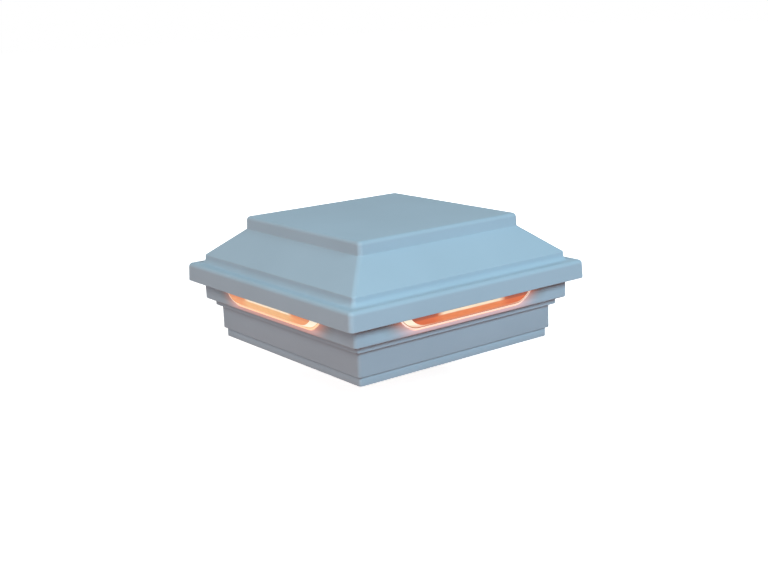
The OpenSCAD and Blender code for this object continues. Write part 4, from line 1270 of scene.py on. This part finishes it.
inner_w, outer_w = GASKET_INNER + GASKET_EDGE_R, GASKET_OUTER - GASKET_EDGE_R
low_z, high_z = GASKET_Z + GASKET_EDGE_R, GASKET_TOP_Z - GASKET_EDGE_R
gasket_profile = []
for w, z, start, corner in (
        (inner_w, low_z, 180, GASKET_INNER_CORNER_R), (outer_w, low_z, 270, BASE_CORNER_R),
        (outer_w, high_z, 0, BASE_CORNER_R), (inner_w, high_z, 90, GASKET_INNER_CORNER_R)):
    gasket_profile += [(*point, corner) for point in arc(w, z, GASKET_EDGE_R, start, start + 90, 3)]
gasket_mesh = square_shell("lid_sealing_ring", gasket_profile, rubber, closed_on_itself=True)
gasket = new_piece("lid_sealing_ring", gasket_mesh, "base", "black_rubber", "lid_gasket")
smooth_by_angle(gasket)


# ---- Lid ----------------------------------------------------------------------------------
# The cap is one moulding in the same ASA. A low pyramid rises from a flange that overhangs
# the windows, and eight tabs inside keep it square on the collar. It lifts off.
FLANGE_HALF, FLANGE_TOP_HALF, FLANGE_Z, LEDGE_Z = 73.6, 73.3, 30.6, 40.0
FOOT_HALF, FOOT_Z = 66.5, 43.8
TOP_HALF, SLOPE_TOP_Z, TOP_Z = 50.1, 58.3, 64.5
LID_WALL, BAND_LEAN = 2.2, 0.15
ROUND_EDGE_R, COVE_R, NOSE_R, CREASE_R, RIM_R = 2.1, 2.6, 1.0, 0.8, 0.35
FLANGE_CORNER_R, FOOT_CORNER_R, TOP_CORNER_R, INNER_CORNER_R, LEAST_CORNER_R = 2.6, 2.0, 2.4, 0.6, 0.3
TAB_AT, TAB_LENGTH, TAB_T, TAB_Z, TAB_EDGE_R = 56, 8, 2, 31, 0.3


def cornered(points, corner, drawn_in=False):
    """Gives profile points a corner radius. A round edge can draw its corner in with it."""
    first = points[0][0]
    return [(w, z, max(LEAST_CORNER_R, corner - (first - w)) if drawn_in else corner) for w, z in points]


slope_tilt = math.degrees(math.atan2(FOOT_HALF - TOP_HALF, SLOPE_TOP_Z - FOOT_Z))
inner_top, under_ledge = TOP_Z - LID_WALL, LEDGE_Z - LID_WALL
inner_flange = FLANGE_HALF - LID_WALL
lid_profile = cornered([
    (TOP_HALF - LID_WALL - 0.6, inner_top), (TOP_HALF - LID_WALL, inner_top - 0.6),
    (TOP_HALF - LID_WALL, SLOPE_TOP_Z - 1.5), (FOOT_HALF - LID_WALL, FOOT_Z - 0.7),
    (FOOT_HALF - LID_WALL, under_ledge), (inner_flange - 0.8, under_ledge),
    (inner_flange - 0.3, under_ledge - 0.5)], INNER_CORNER_R)
lid_profile += cornered(arc(inner_flange + RIM_R, FLANGE_Z + RIM_R, RIM_R, 180, 270, 3), INNER_CORNER_R)
lid_profile += cornered(arc(FLANGE_HALF - RIM_R, FLANGE_Z + RIM_R, RIM_R, 270, 360, 4), FLANGE_CORNER_R)
ledge_edge = arc(FLANGE_TOP_HALF - ROUND_EDGE_R, LEDGE_Z - ROUND_EDGE_R, ROUND_EDGE_R, 0, 90, 8)
lid_profile += cornered(ledge_edge, FLANGE_CORNER_R, drawn_in=True)
lid_profile += cornered(arc(FOOT_HALF + COVE_R, LEDGE_Z + COVE_R, COVE_R, 270, 180, 7), FOOT_CORNER_R)
lid_profile += cornered(arc(FOOT_HALF - NOSE_R, FOOT_Z, NOSE_R, 0, slope_tilt, 5), FOOT_CORNER_R)
crease = arc(TOP_HALF + CREASE_R, SLOPE_TOP_Z, CREASE_R, 180 + slope_tilt, 180, 4)
lid_profile += cornered(crease, TOP_CORNER_R)
top_edge = arc(TOP_HALF - BAND_LEAN - ROUND_EDGE_R, TOP_Z - ROUND_EDGE_R, ROUND_EDGE_R, 0, 90, 8)
lid_profile += cornered(top_edge, TOP_CORNER_R, drawn_in=True)
lid_mesh = square_shell("pyramid_lid", lid_profile, plain_plastic)
lid = new_piece("pyramid_lid", lid_mesh, "lid", "moulded_shell", "lid")
smooth_by_angle(lid)

shape = bmesh.new()
box(shape, (-TAB_LENGTH / 2, 0, TAB_Z), (TAB_LENGTH / 2, TAB_T, FOOT_Z - 2))
tab_mesh = finished(shape, "guide_tab", bevel=TAB_EDGE_R)
tab_out = FOOT_HALF - LID_WALL + 0.3
tab_places = [(sx * TAB_AT, -tab_out, 0) for sx in (-1, 1)]
tabs = bmesh.new()
for side in range(4):
    tabs.from_mesh(placed_copies("guide_tabs", tab_mesh, tab_places, plain_plastic, side=side))
tabs_mesh = finished(tabs, "lid_guide_tabs", plain_plastic)
guide_tabs = new_piece("lid_guide_tabs", tabs_mesh, "lid", "moulded_shell")
smooth_by_angle(guide_tabs)
